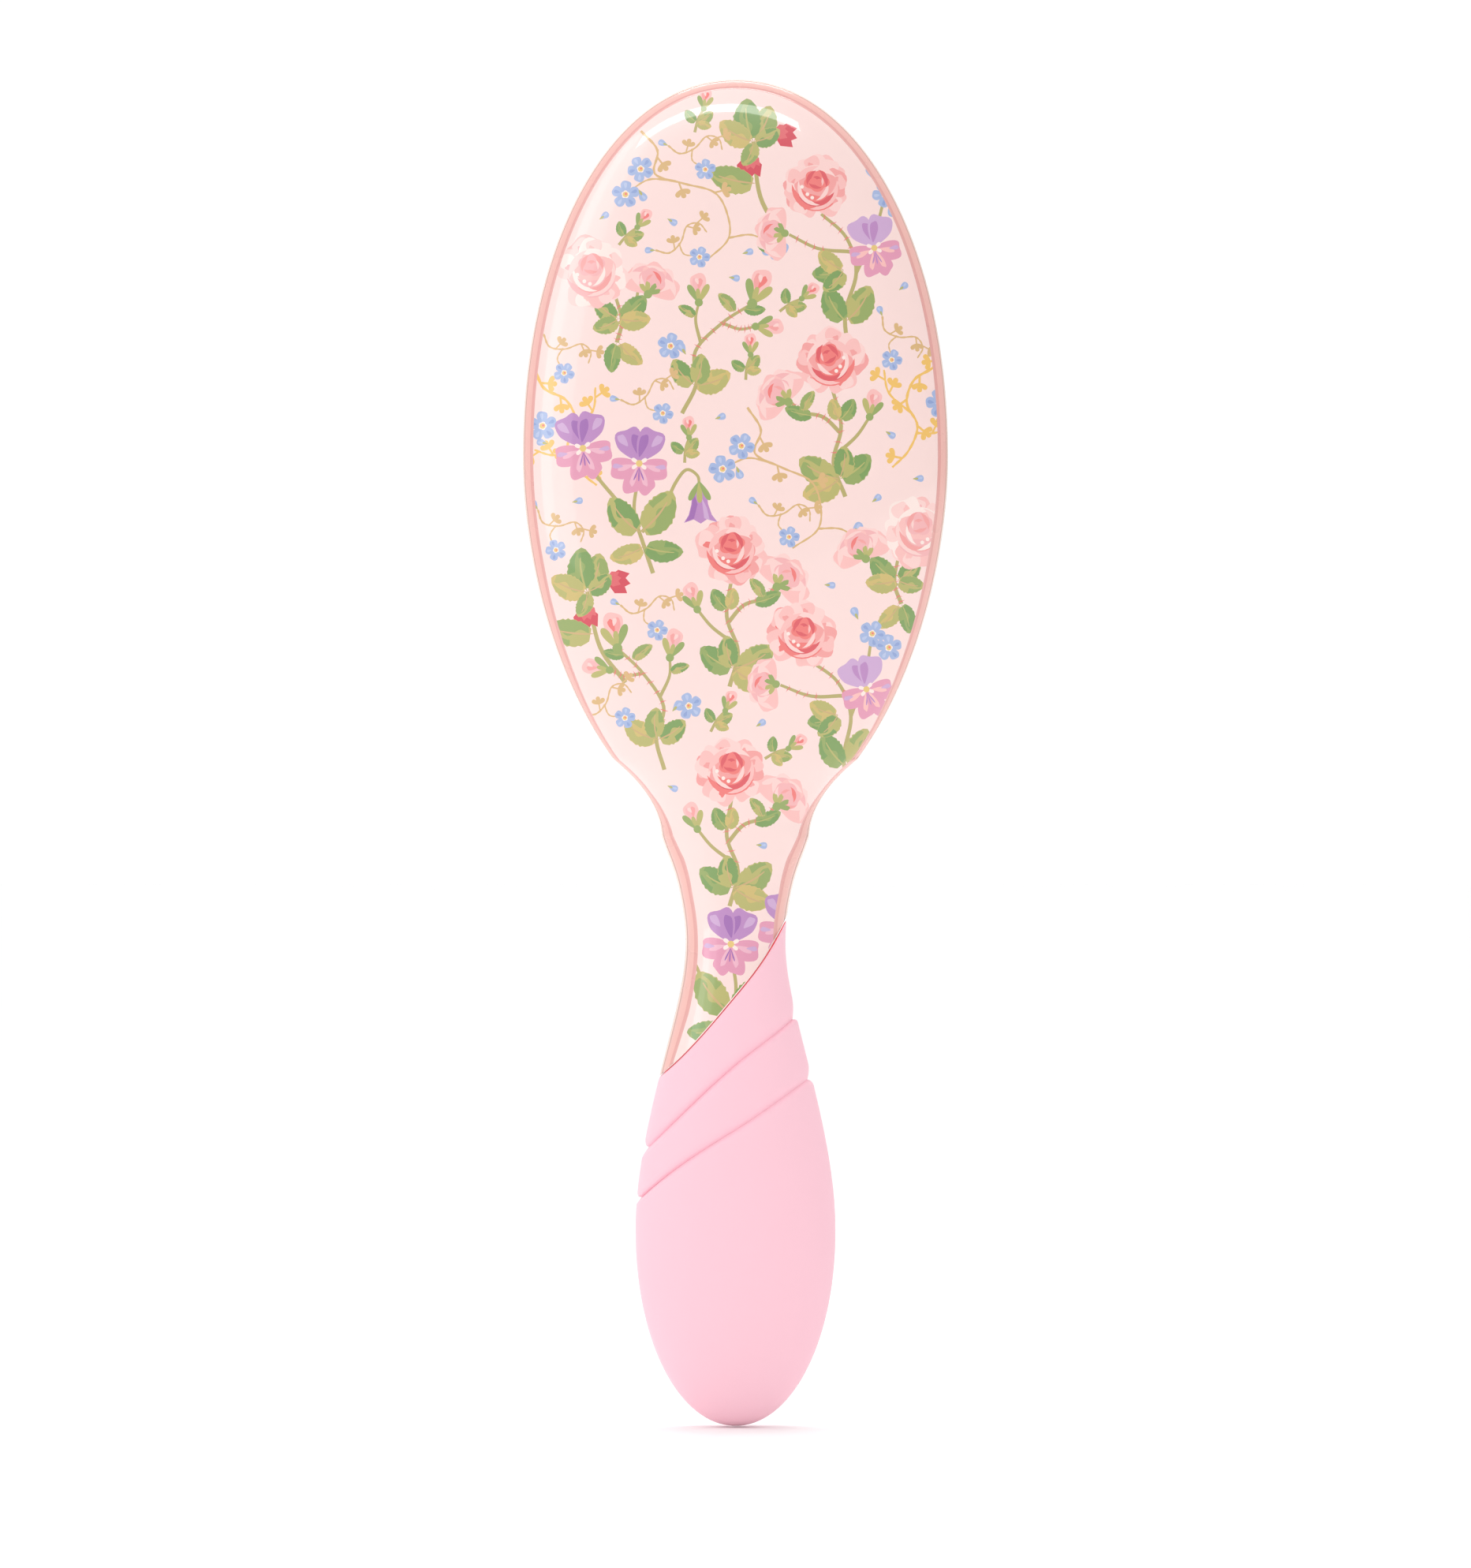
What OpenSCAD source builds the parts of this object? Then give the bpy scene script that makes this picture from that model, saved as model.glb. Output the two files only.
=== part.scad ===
// Vanity hairbrush: a detangling brush with a domed back, a rubber cushion that carries rows of
// ball-tipped bristles, and a soft grip whose bands are parted by slanting grooves.
// The brush stands upright: +Z runs from the grip to the tip of the head, the domed back faces
// -Y, the bristles face +Y and the width lies along X. The origin is in the middle of the grip
// at its widest place. The two shells meet on the plane y = 0.

/* [Head] */
// Half the width of the head at its widest
head_half_width = 36; // [30:0.5:42]
// Height of the head's widest place above the origin
head_centre_z = 131; // [128:0.5:134]
// Distance from the widest place up to the tip
head_tip_length = 63.9; // [60:0.1:68]
// Half the length of the fuller oval that shapes the head's lower part
head_foot_length = 64.5; // [62:0.1:68]
// Height where that oval ends and the flare to the neck starts
head_foot_z = 79.9; // [76:0.1:82]
// How far the back bulges behind the seam
back_depth = 9; // [7:0.1:12]
// How far the front stands before the seam
front_depth = 5; // [4.5:0.1:7]

/* [Neck] */
// Height of the small shoulders under the head
shoulder_z = 66.8; // [64:0.1:70]
// Half the width across the shoulders
shoulder_half_width = 12.5; // [11:0.1:14]
// Height of the narrowest place
waist_z = 48.8; // [46:0.1:52]
// Half the width of the narrowest place
waist_half_width = 8.45; // [8:0.05:10]
// Half the thickness of the narrowest place
waist_depth = 6.6; // [6:0.1:8]

/* [Grip] */
// Half the width of the grip at its widest
grip_half_width = 16.95; // [15:0.05:19]
// Half the thickness of the grip
grip_depth = 9.6; // [8.5:0.1:11]
// Distance from the origin down to the end of the grip
grip_butt_length = 33.1; // [30:0.1:36]
// Thickness of the soft sleeve
grip_thickness = 1.6; // [1.4:0.1:2]
// Half the width of a groove between two bands
groove_half_width = 1.2; // [1:0.1:1.4]
// Depth of a groove
groove_depth = 0.7; // [0.5:0.1:0.9]

/* [Shells] */
// Wall of the two hard shells
wall = 2; // [1.8:0.1:2.4]
// Diameter of the locating pegs between the shells
peg_d = 3; // [2.6:0.1:3.2]

/* [Cushion] */
// Half the width of the opening for the cushion
cushion_half_width = 29; // [27:0.5:30]
// Half the length of the opening for the cushion
cushion_half_length = 53; // [50:0.5:54]
// Height of the cushion's middle
cushion_centre_z = 134; // [133:0.5:135]
// How far the crown of the cushion stands before the seam
cushion_crown = 9.5; // [9:0.1:10.5]
// Rise of the cushion from its edge to its crown
cushion_rise = 4.3; // [3.5:0.1:4.5]
// Thickness of the rubber
rubber = 1.4; // [1.2:0.1:1.6]

/* [Bristles] */
// Number of rows across the cushion
rows = 17; // [11:2:17]
// Distance between two rows
row_pitch = 5.4; // [5.2:0.1:5.4]
// Distance between two bristles of a row
column_pitch = 5.6; // [5.4:0.1:6.4]
// Length of a bristle above the rubber, to the middle of its ball
bristle_length = 18.5; // [14:0.5:20]
// Diameter of a bristle where it leaves the rubber
bristle_d = 1.15; // [1:0.05:1.2]
// Diameter of a bristle under its ball
bristle_end_d = 0.9; // [0.8:0.05:1]
// Diameter of the ball tip
ball_d = 1.8; // [1.6:0.1:2]

/* [Hidden] */
row_names = [for (row = [1 : rows]) str("bristle_row_", row < 10 ? "0" : "", row)];

rose = [0.98, 0.78, 0.77];
blush = [0.98, 0.87, 0.85];
baby_pink = [0.99, 0.79, 0.84];
berry = [0.86, 0.42, 0.55];

butt_power = 2.05; // roundness of the grip's end
tip_power = 2.08; // roundness of the head's tip
foot_power = 1.88; // roundness of the head's lower part
half_columns = 16; // facets across one half of a section
oval_sides = 48; // facets around the cushion
bristle_fn = 24;
peg_fn = 32;
cut = 0.01; // lets a cutting solid run past the face that it cuts
past = 1; // the same where there is room for more

// Widths between the grip and the head: [z, half width, slope before, slope after]
width_knots = [
    [0, grip_half_width, 0, 0],
    [22.5, 13.75, -0.235, -0.235],
    [36, 10.4, -0.24, -0.24],
    [waist_z, waist_half_width, 0, 0],
    [58.8, 9.8, 0.25, 0.25],
    [shoulder_z, shoulder_half_width, 0.3, 0.04],
    [head_foot_z, 20.8, 1.25, 1.25],
];
// Depths of the back and the front along the middle line
back_knots = [
    [0, grip_depth, 0, 0],
    [waist_z, waist_depth, 0, 0],
    [100, 8.5, 0.035, 0.035],
    [head_centre_z, back_depth, 0, 0],
];
front_knots = [
    [0, grip_depth, 0, 0],
    [waist_z, waist_depth, 0, 0],
    [head_foot_z, front_depth, 0, 0],
    [head_centre_z, front_depth, 0, 0],
];
// The grip's top edge and its two grooves, seen from the back: [x, z, slope before, slope after]
collar_line = [[-12.5, 26.5, 0.8, 0.8], [0, 39.9, 1.2, 1.2], [9, 54, 2.3, 2.3]];
upper_groove_line = [[-15, 13.8, 1, 1], [0, 28.2, 0.85, 0.85], [10.4, 36.4, 0.9, 0.9]];
lower_groove_line = [[-16.2, 5.3, 1, 1], [0, 17.3, 0.62, 0.62], [12.8, 26, 0.66, 0.66]];
collar_z = 39.9;
upper_groove_z = 28.2;
lower_groove_z = 17.3;
level_above_collar = 58; // sections are flat again from here up

// Heights of the sections. Those up to collar_z lie inside the grip.
core_levels = [-32.4, -29.5, -24.5, -17.5, -9, 0, 8, lower_groove_z, upper_groove_z, collar_z];
neck_levels = [44, waist_z, 53, 58, 62.5, shoulder_z, 70, 73.5, 77, head_foot_z];
head_levels = [86, 94, 103, 112, 121, head_centre_z, 141, 151, 160, 168, 175, 181, 186, 190, 193.2];
palm_levels = [12, 6, 0, -6, -12, -18, -23.5, -28, -31, -32.6];
upper_band_z = 34; // between the collar and the upper groove
middle_band_z = 22.6; // between the two grooves

neck_extra = 0.6; // the shells' wall is thicker by this in the neck
sleeve_gap = 0.02; // between the sleeve's top edge and the shells' collar
sleeve_bevel = 0.35; // the top edge is drawn in by this
sleeve_bevel_height = 0.5;
groove_floor = 0.4; // share of a groove's width that is at full depth

// ---- Curves ----

function smooth(a, b, t) = let (s = min(1, max(0, (t - a) / (b - a)))) s * s * (3 - 2 * s);
function superellipse(t, power) = pow(max(0, 1 - pow(min(1, abs(t)), power)), 1 / power);

// A cubic through two knots that leaves the first and reaches the second at their slopes
function cubic(a, b, x) =
    let (span = b[0] - a[0], t = (x - a[0]) / span, s = 1 - t)
    a[1] * s * s * (1 + 2 * t) + b[1] * t * t * (1 + 2 * s) + span * t * s * (a[3] * s - b[2] * t);
function curve(knots, x, i = 0) =
    i + 2 >= len(knots) || x < knots[i + 1][0]
        ? cubic(knots[i], knots[i + 1], x)
        : curve(knots, x, i + 1);

// ---- The skin of the brush, and surfaces that lie under it by an inset ----

// Pulls the two ends of the brush in by the inset
function drawn_in(z, inset) =
    z < 0 ? z * (grip_butt_length - inset) / grip_butt_length
    : z > head_centre_z
        ? head_centre_z + (z - head_centre_z) * (head_tip_length - inset) / head_tip_length
        : z;
function butt_fullness(z, inset) = superellipse(z / (grip_butt_length - inset), butt_power);
// How far towards the head's tip a section lies, 0 at the widest place and 1 at the tip
function towards_tip(z, inset) = max(0, (z - head_centre_z) / (head_tip_length - inset));

function half_width(z, inset) =
    z < 0 ? (grip_half_width - inset) * butt_fullness(z, inset)
    : z < head_foot_z ? curve(width_knots, z) - inset
    : z < head_centre_z
        ? head_half_width * superellipse((head_centre_z - z) / head_foot_length, foot_power) - inset
        : (head_half_width - inset) * superellipse(towards_tip(z, inset), tip_power);
function depth(z, side, inset) =
    let (knots = side < 0 ? back_knots : front_knots)
    z < 0
        ? (grip_depth - inset) * butt_fullness(z, inset)
        : curve(knots, min(z, head_centre_z)) - inset;

// Sections are ellipses at the grip. At the head the back is a soft dome and the front is flat.
function section_power(z, side) = 2 + (side < 0 ? 0.6 : 8) * smooth(56, 96, z);
function edge_power(z, side) = 2 + (side < 0 ? 0 : 0.5) * smooth(56, 96, z);
function fall(z, u, side, inset) =
    let (tip = pow(towards_tip(z, inset), tip_power), r = sqrt(tip + (1 - tip) * u * u))
    pow(max(0, 1 - pow(r, section_power(z, side))), 1 / edge_power(z, side));
function skin_point(z, u, side, inset) =
    [half_width(z, inset) * u, side * depth(z, side, inset) * fall(z, u, side, inset), z];

// A level is a section's height at x = 0. Near the collar and the grooves the section slants.
function slanted(level, x) = level + lookup(level, [
    [0, 0],
    [lower_groove_z, curve(lower_groove_line, x) - lower_groove_z],
    [upper_groove_z, curve(upper_groove_line, x) - upper_groove_z],
    [collar_z, curve(collar_line, x) - collar_z],
    [level_above_collar, 0],
]);
// The place across the section and its height depend on each other, and settle in a few turns
function place(level, u, side, inset, x = 0, turns = 8) =
    let (z = slanted(level, x))
    turns == 0
        ? skin_point(z, u, side, inset)
        : place(level, u, side, inset, half_width(z, inset) * u, turns - 1);
// Points across one side of a section, by their numbers from the right edge to the left
function side_points(level, side, inset, numbers) =
    [for (i = numbers) place(drawn_in(level, inset), cos(180 * i / half_columns), side, inset)];
function half_row(level, side, inset) = side_points(level, side, inset, [0 : half_columns]);
function ring_row(level, inset) =
    concat(half_row(level, -1, inset), side_points(level, 1, inset, [half_columns - 1 : -1 : 1]));

// ---- Faces between rows of points ----

// Two triangles for each cell of a grid that starts at point number "first"
function grid_faces(first, row_count, per_row, closed, flip) = [
    for (row = [0 : row_count - 2], i = [0 : per_row - (closed ? 1 : 2)])
        let (a = first + row * per_row + i, b = first + row * per_row + (i + 1) % per_row)
            each flip ? [[a, b, a + per_row], [b, b + per_row, a + per_row]]
                : [[a, a + per_row, b], [b, a + per_row, b + per_row]],
];
// Triangles from one point to a row
function fan_faces(tip, first, per_row, closed, flip) = [
    for (i = [0 : per_row - (closed ? 1 : 2)])
        let (a = first + i, b = first + (i + 1) % per_row) flip ? [tip, b, a] : [tip, a, b],
];
// Triangles between two lines of points, given by their numbers
function strip_faces(one, other, flip) = [
    for (i = [0 : len(one) - 2])
        let (a = one[i], b = one[i + 1], c = other[i], d = other[i + 1])
            each flip ? [[a, b, c], [b, d, c]] : [[a, c, b], [b, c, d]],
];

// ---- Hollow half shell: one side of the seam, closed at the butt and at the head's tip ----

// Each row is [level, inset of the outer face, inset of the inner face]
function shell_rows(inner_neck) = concat(
    [for (level = core_levels) [level, grip_thickness, grip_thickness + wall]],
    [[collar_z, 0, grip_thickness + wall]],
    [for (level = neck_levels) [level, 0, level > shoulder_z ? wall : inner_neck]],
    [for (level = head_levels) [level, 0, wall]]
);
module half_shell(side) {
    list = shell_rows(wall + neck_extra);
    per_row = half_columns + 1;
    last = len(list) - 1;
    start = len(list) * per_row;
    tips = 2 * start;
    top = head_centre_z + head_tip_length;
    points = concat(
        [for (row = list) each half_row(row[0], side, row[1])],
        [for (row = list) each half_row(row[0], side, row[2])],
        [
            [0, 0, drawn_in(-grip_butt_length, grip_thickness)],
            [0, 0, top],
            [0, 0, drawn_in(-grip_butt_length, grip_thickness + wall)],
            [0, 0, drawn_in(top, wall)],
        ]
    );
    right = [for (row = [0 : last]) row * per_row];
    left = [for (row = [0 : last]) row * per_row + half_columns];
    front = side > 0;
    polyhedron(
        points,
        concat(
            grid_faces(0, last + 1, per_row, false, front),
            grid_faces(start, last + 1, per_row, false, !front),
            fan_faces(tips, 0, per_row, false, front),
            fan_faces(tips + 1, last * per_row, per_row, false, !front),
            fan_faces(tips + 2, start, per_row, false, !front),
            fan_faces(tips + 3, start + last * per_row, per_row, false, front),
            strip_faces(
                concat([tips], right, [tips + 1]),
                concat([tips + 2], [for (i = right) i + start], [tips + 3]),
                !front
            ),
            strip_faces(
                concat([tips], left, [tips + 1]),
                concat([tips + 2], [for (i = left) i + start], [tips + 3]),
                front
            )
        ),
        convexity = 10
    );
}

// ---- Ovals of the cushion, and where its parts lie ----

clearance = 0.2; // between the cushion and the front shell, both in the opening and at the flange
seat_y = 2.9; // flat under the front wall, where the rubber flange sits
flange_t = 1.2;
vent_d = 1.6; // lets the air out when the cushion is pressed
vent_drop = 49; // from the cushion's middle down to the vent
flange_reach = 2.2; // how far the flange reaches past the opening
collar_t = 1.6; // wall of the collar that holds the flange and the clamp ring
clamp_y = 0.3; // lower face of the clamp ring
clamp_width = 3.6;

function oval(half_w, half_l) = [
    for (i = [0 : oval_sides - 1])
        let (angle = 360 * i / oval_sides) [half_w * cos(angle), half_l * sin(angle)],
];
// An upright oval prism between two values of y, grown past the opening by "grow"
module oval_prism(grow, y0, y1) {
    translate([0, y1, cushion_centre_z])
        rotate([90, 0, 0])
            linear_extrude(y1 - y0)
                polygon(oval(cushion_half_width + grow, cushion_half_length + grow));
}
module oval_tube(grow_in, grow_out, y0, y1) {
    difference() {
        oval_prism(grow_out, y0, y1);
        oval_prism(grow_in, y0 - cut, y1 + cut);
    }
}

// Height of the rubber's outer face before the seam
function rubber_y(x, z) =
    let (across = x / cushion_half_width, along = (z - cushion_centre_z) / cushion_half_length)
    cushion_crown - cushion_rise * (across * across + along * along);

// ---- Locating pegs: on the front shell, pressed into bosses of the back shell ----

peg_places = [-14, 14, 66]; // heights on the middle line
peg_reach = 3; // how far a peg stands behind the seam
peg_gap = 0.3; // left under the end of a peg
boss_t = 1.5;
// How far a peg or a boss goes from the seam to end inside the wall
function root_depth(z, side) =
    depth(z, side, 0) - wall / 2 - (z < collar_z ? grip_thickness : 0);
// Puts its child on the middle line, with the child's +Z towards the bristles
module along_y(y, z) {
    translate([0, y, z]) rotate([-90, 0, 0]) children();
}

// ---- The pieces ----

module back_shell() {
    boss_r = peg_d / 2 + boss_t;
    color(blush)
        difference() {
            union() {
                half_shell(-1);
                for (z = peg_places)
                    along_y(-root_depth(z, -1), z)
                        cylinder(h = root_depth(z, -1), r = boss_r, $fn = peg_fn);
            }
            for (z = peg_places)
                along_y(-peg_reach - peg_gap, z)
                    cylinder(h = peg_reach + peg_gap + cut, d = peg_d, $fn = peg_fn);
        }
}

module front_shell() {
    reach = flange_reach + clearance;
    color(rose)
        difference() {
            union() {
                half_shell(1);
                oval_tube(reach, reach + collar_t, clamp_y, seat_y);
                for (z = peg_places)
                    along_y(-peg_reach, z)
                        cylinder(h = peg_reach + root_depth(z, 1), d = peg_d, $fn = peg_fn);
            }
            oval_prism(0, 0, front_depth + past);
            oval_prism(reach, -past, seat_y);
        }
}

// Rows of the sleeve's outer face across a groove: [level, inset]
function groove_rows(z) = [
    [z + groove_half_width, 0],
    [z + groove_half_width * groove_floor, groove_depth],
    [z - groove_half_width * groove_floor, groove_depth],
    [z - groove_half_width, 0],
];
module grip_sleeve() {
    outer = concat(
        [
            [collar_z - sleeve_gap, sleeve_bevel],
            [collar_z - sleeve_bevel_height, 0],
            [upper_band_z, 0],
        ],
        groove_rows(upper_groove_z),
        [[middle_band_z, 0]],
        groove_rows(lower_groove_z),
        [for (level = palm_levels) [level, 0]]
    );
    inner = [for (i = [len(core_levels) - 1 : -1 : 0]) core_levels[i]];
    per_row = 2 * half_columns;
    start = len(outer) * per_row;
    tips = start + len(inner) * per_row;
    points = concat(
        [for (row = outer) each ring_row(row[0], row[1])],
        [for (level = inner) each ring_row(level, grip_thickness)],
        [[0, 0, -grip_butt_length], [0, 0, drawn_in(-grip_butt_length, grip_thickness)]]
    );
    top = concat([for (i = [0 : per_row - 1]) i], [0]);
    color(baby_pink)
        polyhedron(
            points,
            concat(
                grid_faces(0, len(outer), per_row, true, true),
                grid_faces(start, len(inner), per_row, true, false),
                fan_faces(tips, (len(outer) - 1) * per_row, per_row, true, true),
                fan_faces(tips + 1, start + (len(inner) - 1) * per_row, per_row, true, false),
                strip_faces(top, [for (i = top) i + start], false)
            ),
            convexity = 6
        );
}

// The rubber's dome as a solid, its outer face lowered by "lower" and its edge shrunk by "shrink"
dome_rings = [0.3, 0.55, 0.78, 1];
module dome(lower, shrink, floor_y) {
    rings = len(dome_rings);
    points = concat(
        [[0, cushion_crown - lower, cushion_centre_z]],
        [
            for (r = dome_rings, at = oval(cushion_half_width - shrink, cushion_half_length - shrink))
                let (x = r * at[0], z = cushion_centre_z + r * at[1]) [x, rubber_y(x, z) - lower, z],
        ],
        [
            for (at = oval(cushion_half_width - shrink, cushion_half_length - shrink))
                [at[0], floor_y, cushion_centre_z + at[1]],
        ]
    );
    polyhedron(
        points,
        concat(
            fan_faces(0, 1, oval_sides, true, true),
            grid_faces(1, rings + 1, oval_sides, true, false),
            [[for (i = [0 : oval_sides - 1]) 1 + rings * oval_sides + i]]
        ),
        convexity = 4
    );
}

module cushion() {
    color(berry)
        difference() {
            union() {
                dome(0, clearance, seat_y - flange_t);
                oval_prism(flange_reach, seat_y - flange_t, seat_y);
            }
            dome(rubber, clearance + rubber, seat_y - flange_t - past);
            for (row = [1 : rows], x = row_places(row))
                on_rubber(x, row_z(row))
                    cylinder(h = 2 * bore_reach, d = bore_d, center = true, $fn = bristle_fn);
            along_y(0, cushion_centre_z - vent_drop)
                cylinder(h = cushion_crown, d = vent_d, $fn = bristle_fn);
        }
}

module clamp_ring() {
    color(rose)
        oval_tube(flange_reach - clamp_width, flange_reach + clearance, clamp_y, seat_y - flange_t);
}

// ---- Bristles ----

bore_play = 0.4; // how much wider the rubber's bore is than the bristle
bore_d = bristle_d + bore_play;
bore_reach = 3; // how far the bore's cutter goes to each side of the rubber's outer face
root_d = 2.4; // the flat head that keeps a bristle in the rubber
root_t = 0.8;
root_gap = 0.25; // between that head and the rubber
field_half_width = 25.4; // bristles stay inside this oval
field_half_length = 47;
fan_out = 0.45; // share of the rubber's own slope that the bristles lean by

function row_z(row) = cushion_centre_z + (row - (rows + 1) / 2) * row_pitch;
// Every other row is shifted by half a pitch
function row_places(row) =
    let (
        away = (row_z(row) - cushion_centre_z) / field_half_length,
        reach = field_half_width * sqrt(max(0, 1 - away * away)),
        shift = row % 2 == 1 ? 0 : 0.5,
        most = floor(reach / column_pitch - shift)
    )
    [for (i = [-most - 2 * shift : most]) (i + shift) * column_pitch];

// Puts its child on the rubber's outer face, with the child's +Z along the bristle
module on_rubber(x, z) {
    lean_x = fan_out * atan(2 * cushion_rise * x / pow(cushion_half_width, 2));
    lean_z = fan_out * atan(2 * cushion_rise * (z - cushion_centre_z) / pow(cushion_half_length, 2));
    translate([x, rubber_y(x, z), z]) rotate([-90 + lean_z, 0, -lean_x]) children();
}

module bristle() {
    below = rubber + root_gap;
    start = -below - root_t / 2;
    translate([0, 0, -below - root_t]) cylinder(h = root_t, d = root_d, $fn = bristle_fn);
    translate([0, 0, start])
        cylinder(h = bristle_length - start, d1 = bristle_d, d2 = bristle_end_d, $fn = bristle_fn);
    translate([0, 0, bristle_length]) sphere(d = ball_d, $fn = bristle_fn);
}

module bristle_row(row) {
    color(row % 2 == 0 ? berry : rose)
        for (x = row_places(row))
            on_rubber(x, row_z(row)) bristle();
}

back_shell();
front_shell();
grip_sleeve();
cushion();
clamp_ring();
for (row = [1 : rows])
    bristle_row(row);
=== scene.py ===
"""The looks of the vanity hairbrush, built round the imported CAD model.

Lengths are in millimetres until a mesh is made. Seen from the back, x runs to the right and z runs up to the
head's tip; y runs towards the bristles. The two shells meet on y = 0. Outlines in the x-z plane are held as
complex numbers, x + z i, so that turning and scaling one is a multiplication.
"""
import math
from dataclasses import dataclass

import bmesh
import bpy
import numpy as np
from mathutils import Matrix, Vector
from mathutils.geometry import delaunay_2d_cdt


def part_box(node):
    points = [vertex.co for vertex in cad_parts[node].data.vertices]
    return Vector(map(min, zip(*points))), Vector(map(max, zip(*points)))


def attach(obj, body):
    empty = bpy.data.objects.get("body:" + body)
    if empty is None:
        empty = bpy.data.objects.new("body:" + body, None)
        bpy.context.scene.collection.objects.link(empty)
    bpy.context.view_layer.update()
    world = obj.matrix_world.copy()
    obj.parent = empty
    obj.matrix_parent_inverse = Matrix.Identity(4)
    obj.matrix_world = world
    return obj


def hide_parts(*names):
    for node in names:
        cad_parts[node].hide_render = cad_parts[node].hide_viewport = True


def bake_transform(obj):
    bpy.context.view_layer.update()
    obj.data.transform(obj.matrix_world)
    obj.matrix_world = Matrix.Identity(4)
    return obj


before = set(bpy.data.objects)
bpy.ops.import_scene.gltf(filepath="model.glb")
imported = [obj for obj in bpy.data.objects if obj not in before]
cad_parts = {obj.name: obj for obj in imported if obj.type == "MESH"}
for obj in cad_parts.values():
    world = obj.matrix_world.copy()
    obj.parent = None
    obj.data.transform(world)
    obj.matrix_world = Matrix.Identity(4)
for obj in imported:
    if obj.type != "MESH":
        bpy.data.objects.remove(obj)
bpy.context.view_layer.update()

MM = 0.001
BACK, FRONT = -1, 1
ROOT = "root"


def box_mm(node):
    """Lowest and highest corner of a CAD node, in millimetres."""
    low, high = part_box(node)
    return np.array(low) / MM, np.array(high) / MM


# ---- Shape of the brush: the measures and formulas of the CAD model ----

shell_low, shell_high = box_mm("back_shell")
grip_low, grip_high = box_mm("grip_sleeve")
cushion_low, cushion_high = box_mm("cushion")

HEAD_CENTRE_Z = 131
HEAD_HALF_WIDTH = shell_high[0]
HEAD_TIP_LENGTH = shell_high[2] - HEAD_CENTRE_Z
HEAD_FOOT_LENGTH = 64.5
HEAD_FOOT_Z = 79.9
BACK_DEPTH = -shell_low[1]
FRONT_DEPTH = 5
SHOULDER_Z = 66.8
WAIST_Z = 48.8
WAIST_DEPTH = 6.6
GRIP_HALF_WIDTH = grip_high[0]
GRIP_DEPTH = grip_high[1]
BUTT_LENGTH = -grip_low[2]
SLEEVE = 1.6
WALL = 2
BUTT_POWER = 2.05
TIP_POWER = 2.08
FOOT_POWER = 1.88
FLANGE_REACH = 2.2
OPENING_HALF_WIDTH = cushion_high[0] - FLANGE_REACH
OPENING_HALF_LENGTH = (cushion_high[2] - cushion_low[2]) / 2 - FLANGE_REACH
CUSHION_CENTRE_Z = (cushion_high[2] + cushion_low[2]) / 2
CROWN_Y = cushion_high[1]
CUSHION_RISE = 4.3
RUBBER = 1.4
TINY = 1e-6

# Each knot is [place, value, slope before, slope after]
WIDTH_KNOTS = [
    [0, GRIP_HALF_WIDTH, 0, 0],
    [22.5, 13.75, -0.235, -0.235],
    [36, 10.4, -0.24, -0.24],
    [WAIST_Z, 8.45, 0, 0],
    [58.8, 9.8, 0.25, 0.25],
    [SHOULDER_Z, 12.5, 0.3, 0.04],
    [HEAD_FOOT_Z, 20.8, 1.25, 1.25],
]
DEPTH_KNOTS = {
    BACK: [
        [0, GRIP_DEPTH, 0, 0],
        [WAIST_Z, WAIST_DEPTH, 0, 0],
        [100, 8.5, 0.035, 0.035],
        [HEAD_CENTRE_Z, BACK_DEPTH, 0, 0],
    ],
    FRONT: [
        [0, GRIP_DEPTH, 0, 0],
        [WAIST_Z, WAIST_DEPTH, 0, 0],
        [HEAD_FOOT_Z, FRONT_DEPTH, 0, 0],
        [HEAD_CENTRE_Z, FRONT_DEPTH, 0, 0],
    ],
}
COLLAR_LINE = [[-12.5, 26.5, 0.8, 0.8], [0, 39.9, 1.2, 1.2], [9, 54, 2.3, 2.3]]
UPPER_GROOVE = [[-15, 13.8, 1, 1], [0, 28.2, 0.85, 0.85], [10.4, 36.4, 0.9, 0.9]]
LOWER_GROOVE = [[-16.2, 5.3, 1, 1], [0, 17.3, 0.62, 0.62], [12.8, 26, 0.66, 0.66]]
COLLAR_Z, UPPER_GROOVE_Z, LOWER_GROOVE_Z = 39.9, 28.2, 17.3
LEVEL_ABOVE_COLLAR = 58
# Between these heights the sections go over from plain ellipses to the fuller ones of the head
FULLER_FROM_Z, FULLER_TO_Z = 56, 96
SECTION_GAIN = {BACK: 0.6, FRONT: 8}
EDGE_GAIN = {BACK: 0, FRONT: 0.5}
SECTION_TURNS = 8
NORMAL_STEP = 1e-3


def smooth(a, b, t):
    share = np.clip((t - a) / (b - a), 0, 1)
    return share * share * (3 - 2 * share)


def superellipse(t, power):
    return np.maximum(0, 1 - np.minimum(1, np.abs(t)) ** power) ** (1 / power)


def curve(knots, place):
    """Cubic pieces through knots, each leaving and reaching them at their slopes."""
    place = np.asarray(place, float)
    knots = np.asarray(knots, float)
    index = np.clip(np.searchsorted(knots[:, 0], place, side="right") - 1, 0, len(knots) - 2)
    a, b = knots[index], knots[index + 1]
    span = b[..., 0] - a[..., 0]
    t = (place - a[..., 0]) / span
    s = 1 - t
    ends = a[..., 1] * s * s * (1 + 2 * t) + b[..., 1] * t * t * (1 + 2 * s)
    return ends + span * t * s * (a[..., 3] * s - b[..., 2] * t)


def towards_tip(z, inset):
    return np.clip((z - HEAD_CENTRE_Z) / (HEAD_TIP_LENGTH - inset), 0, 1)


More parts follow.
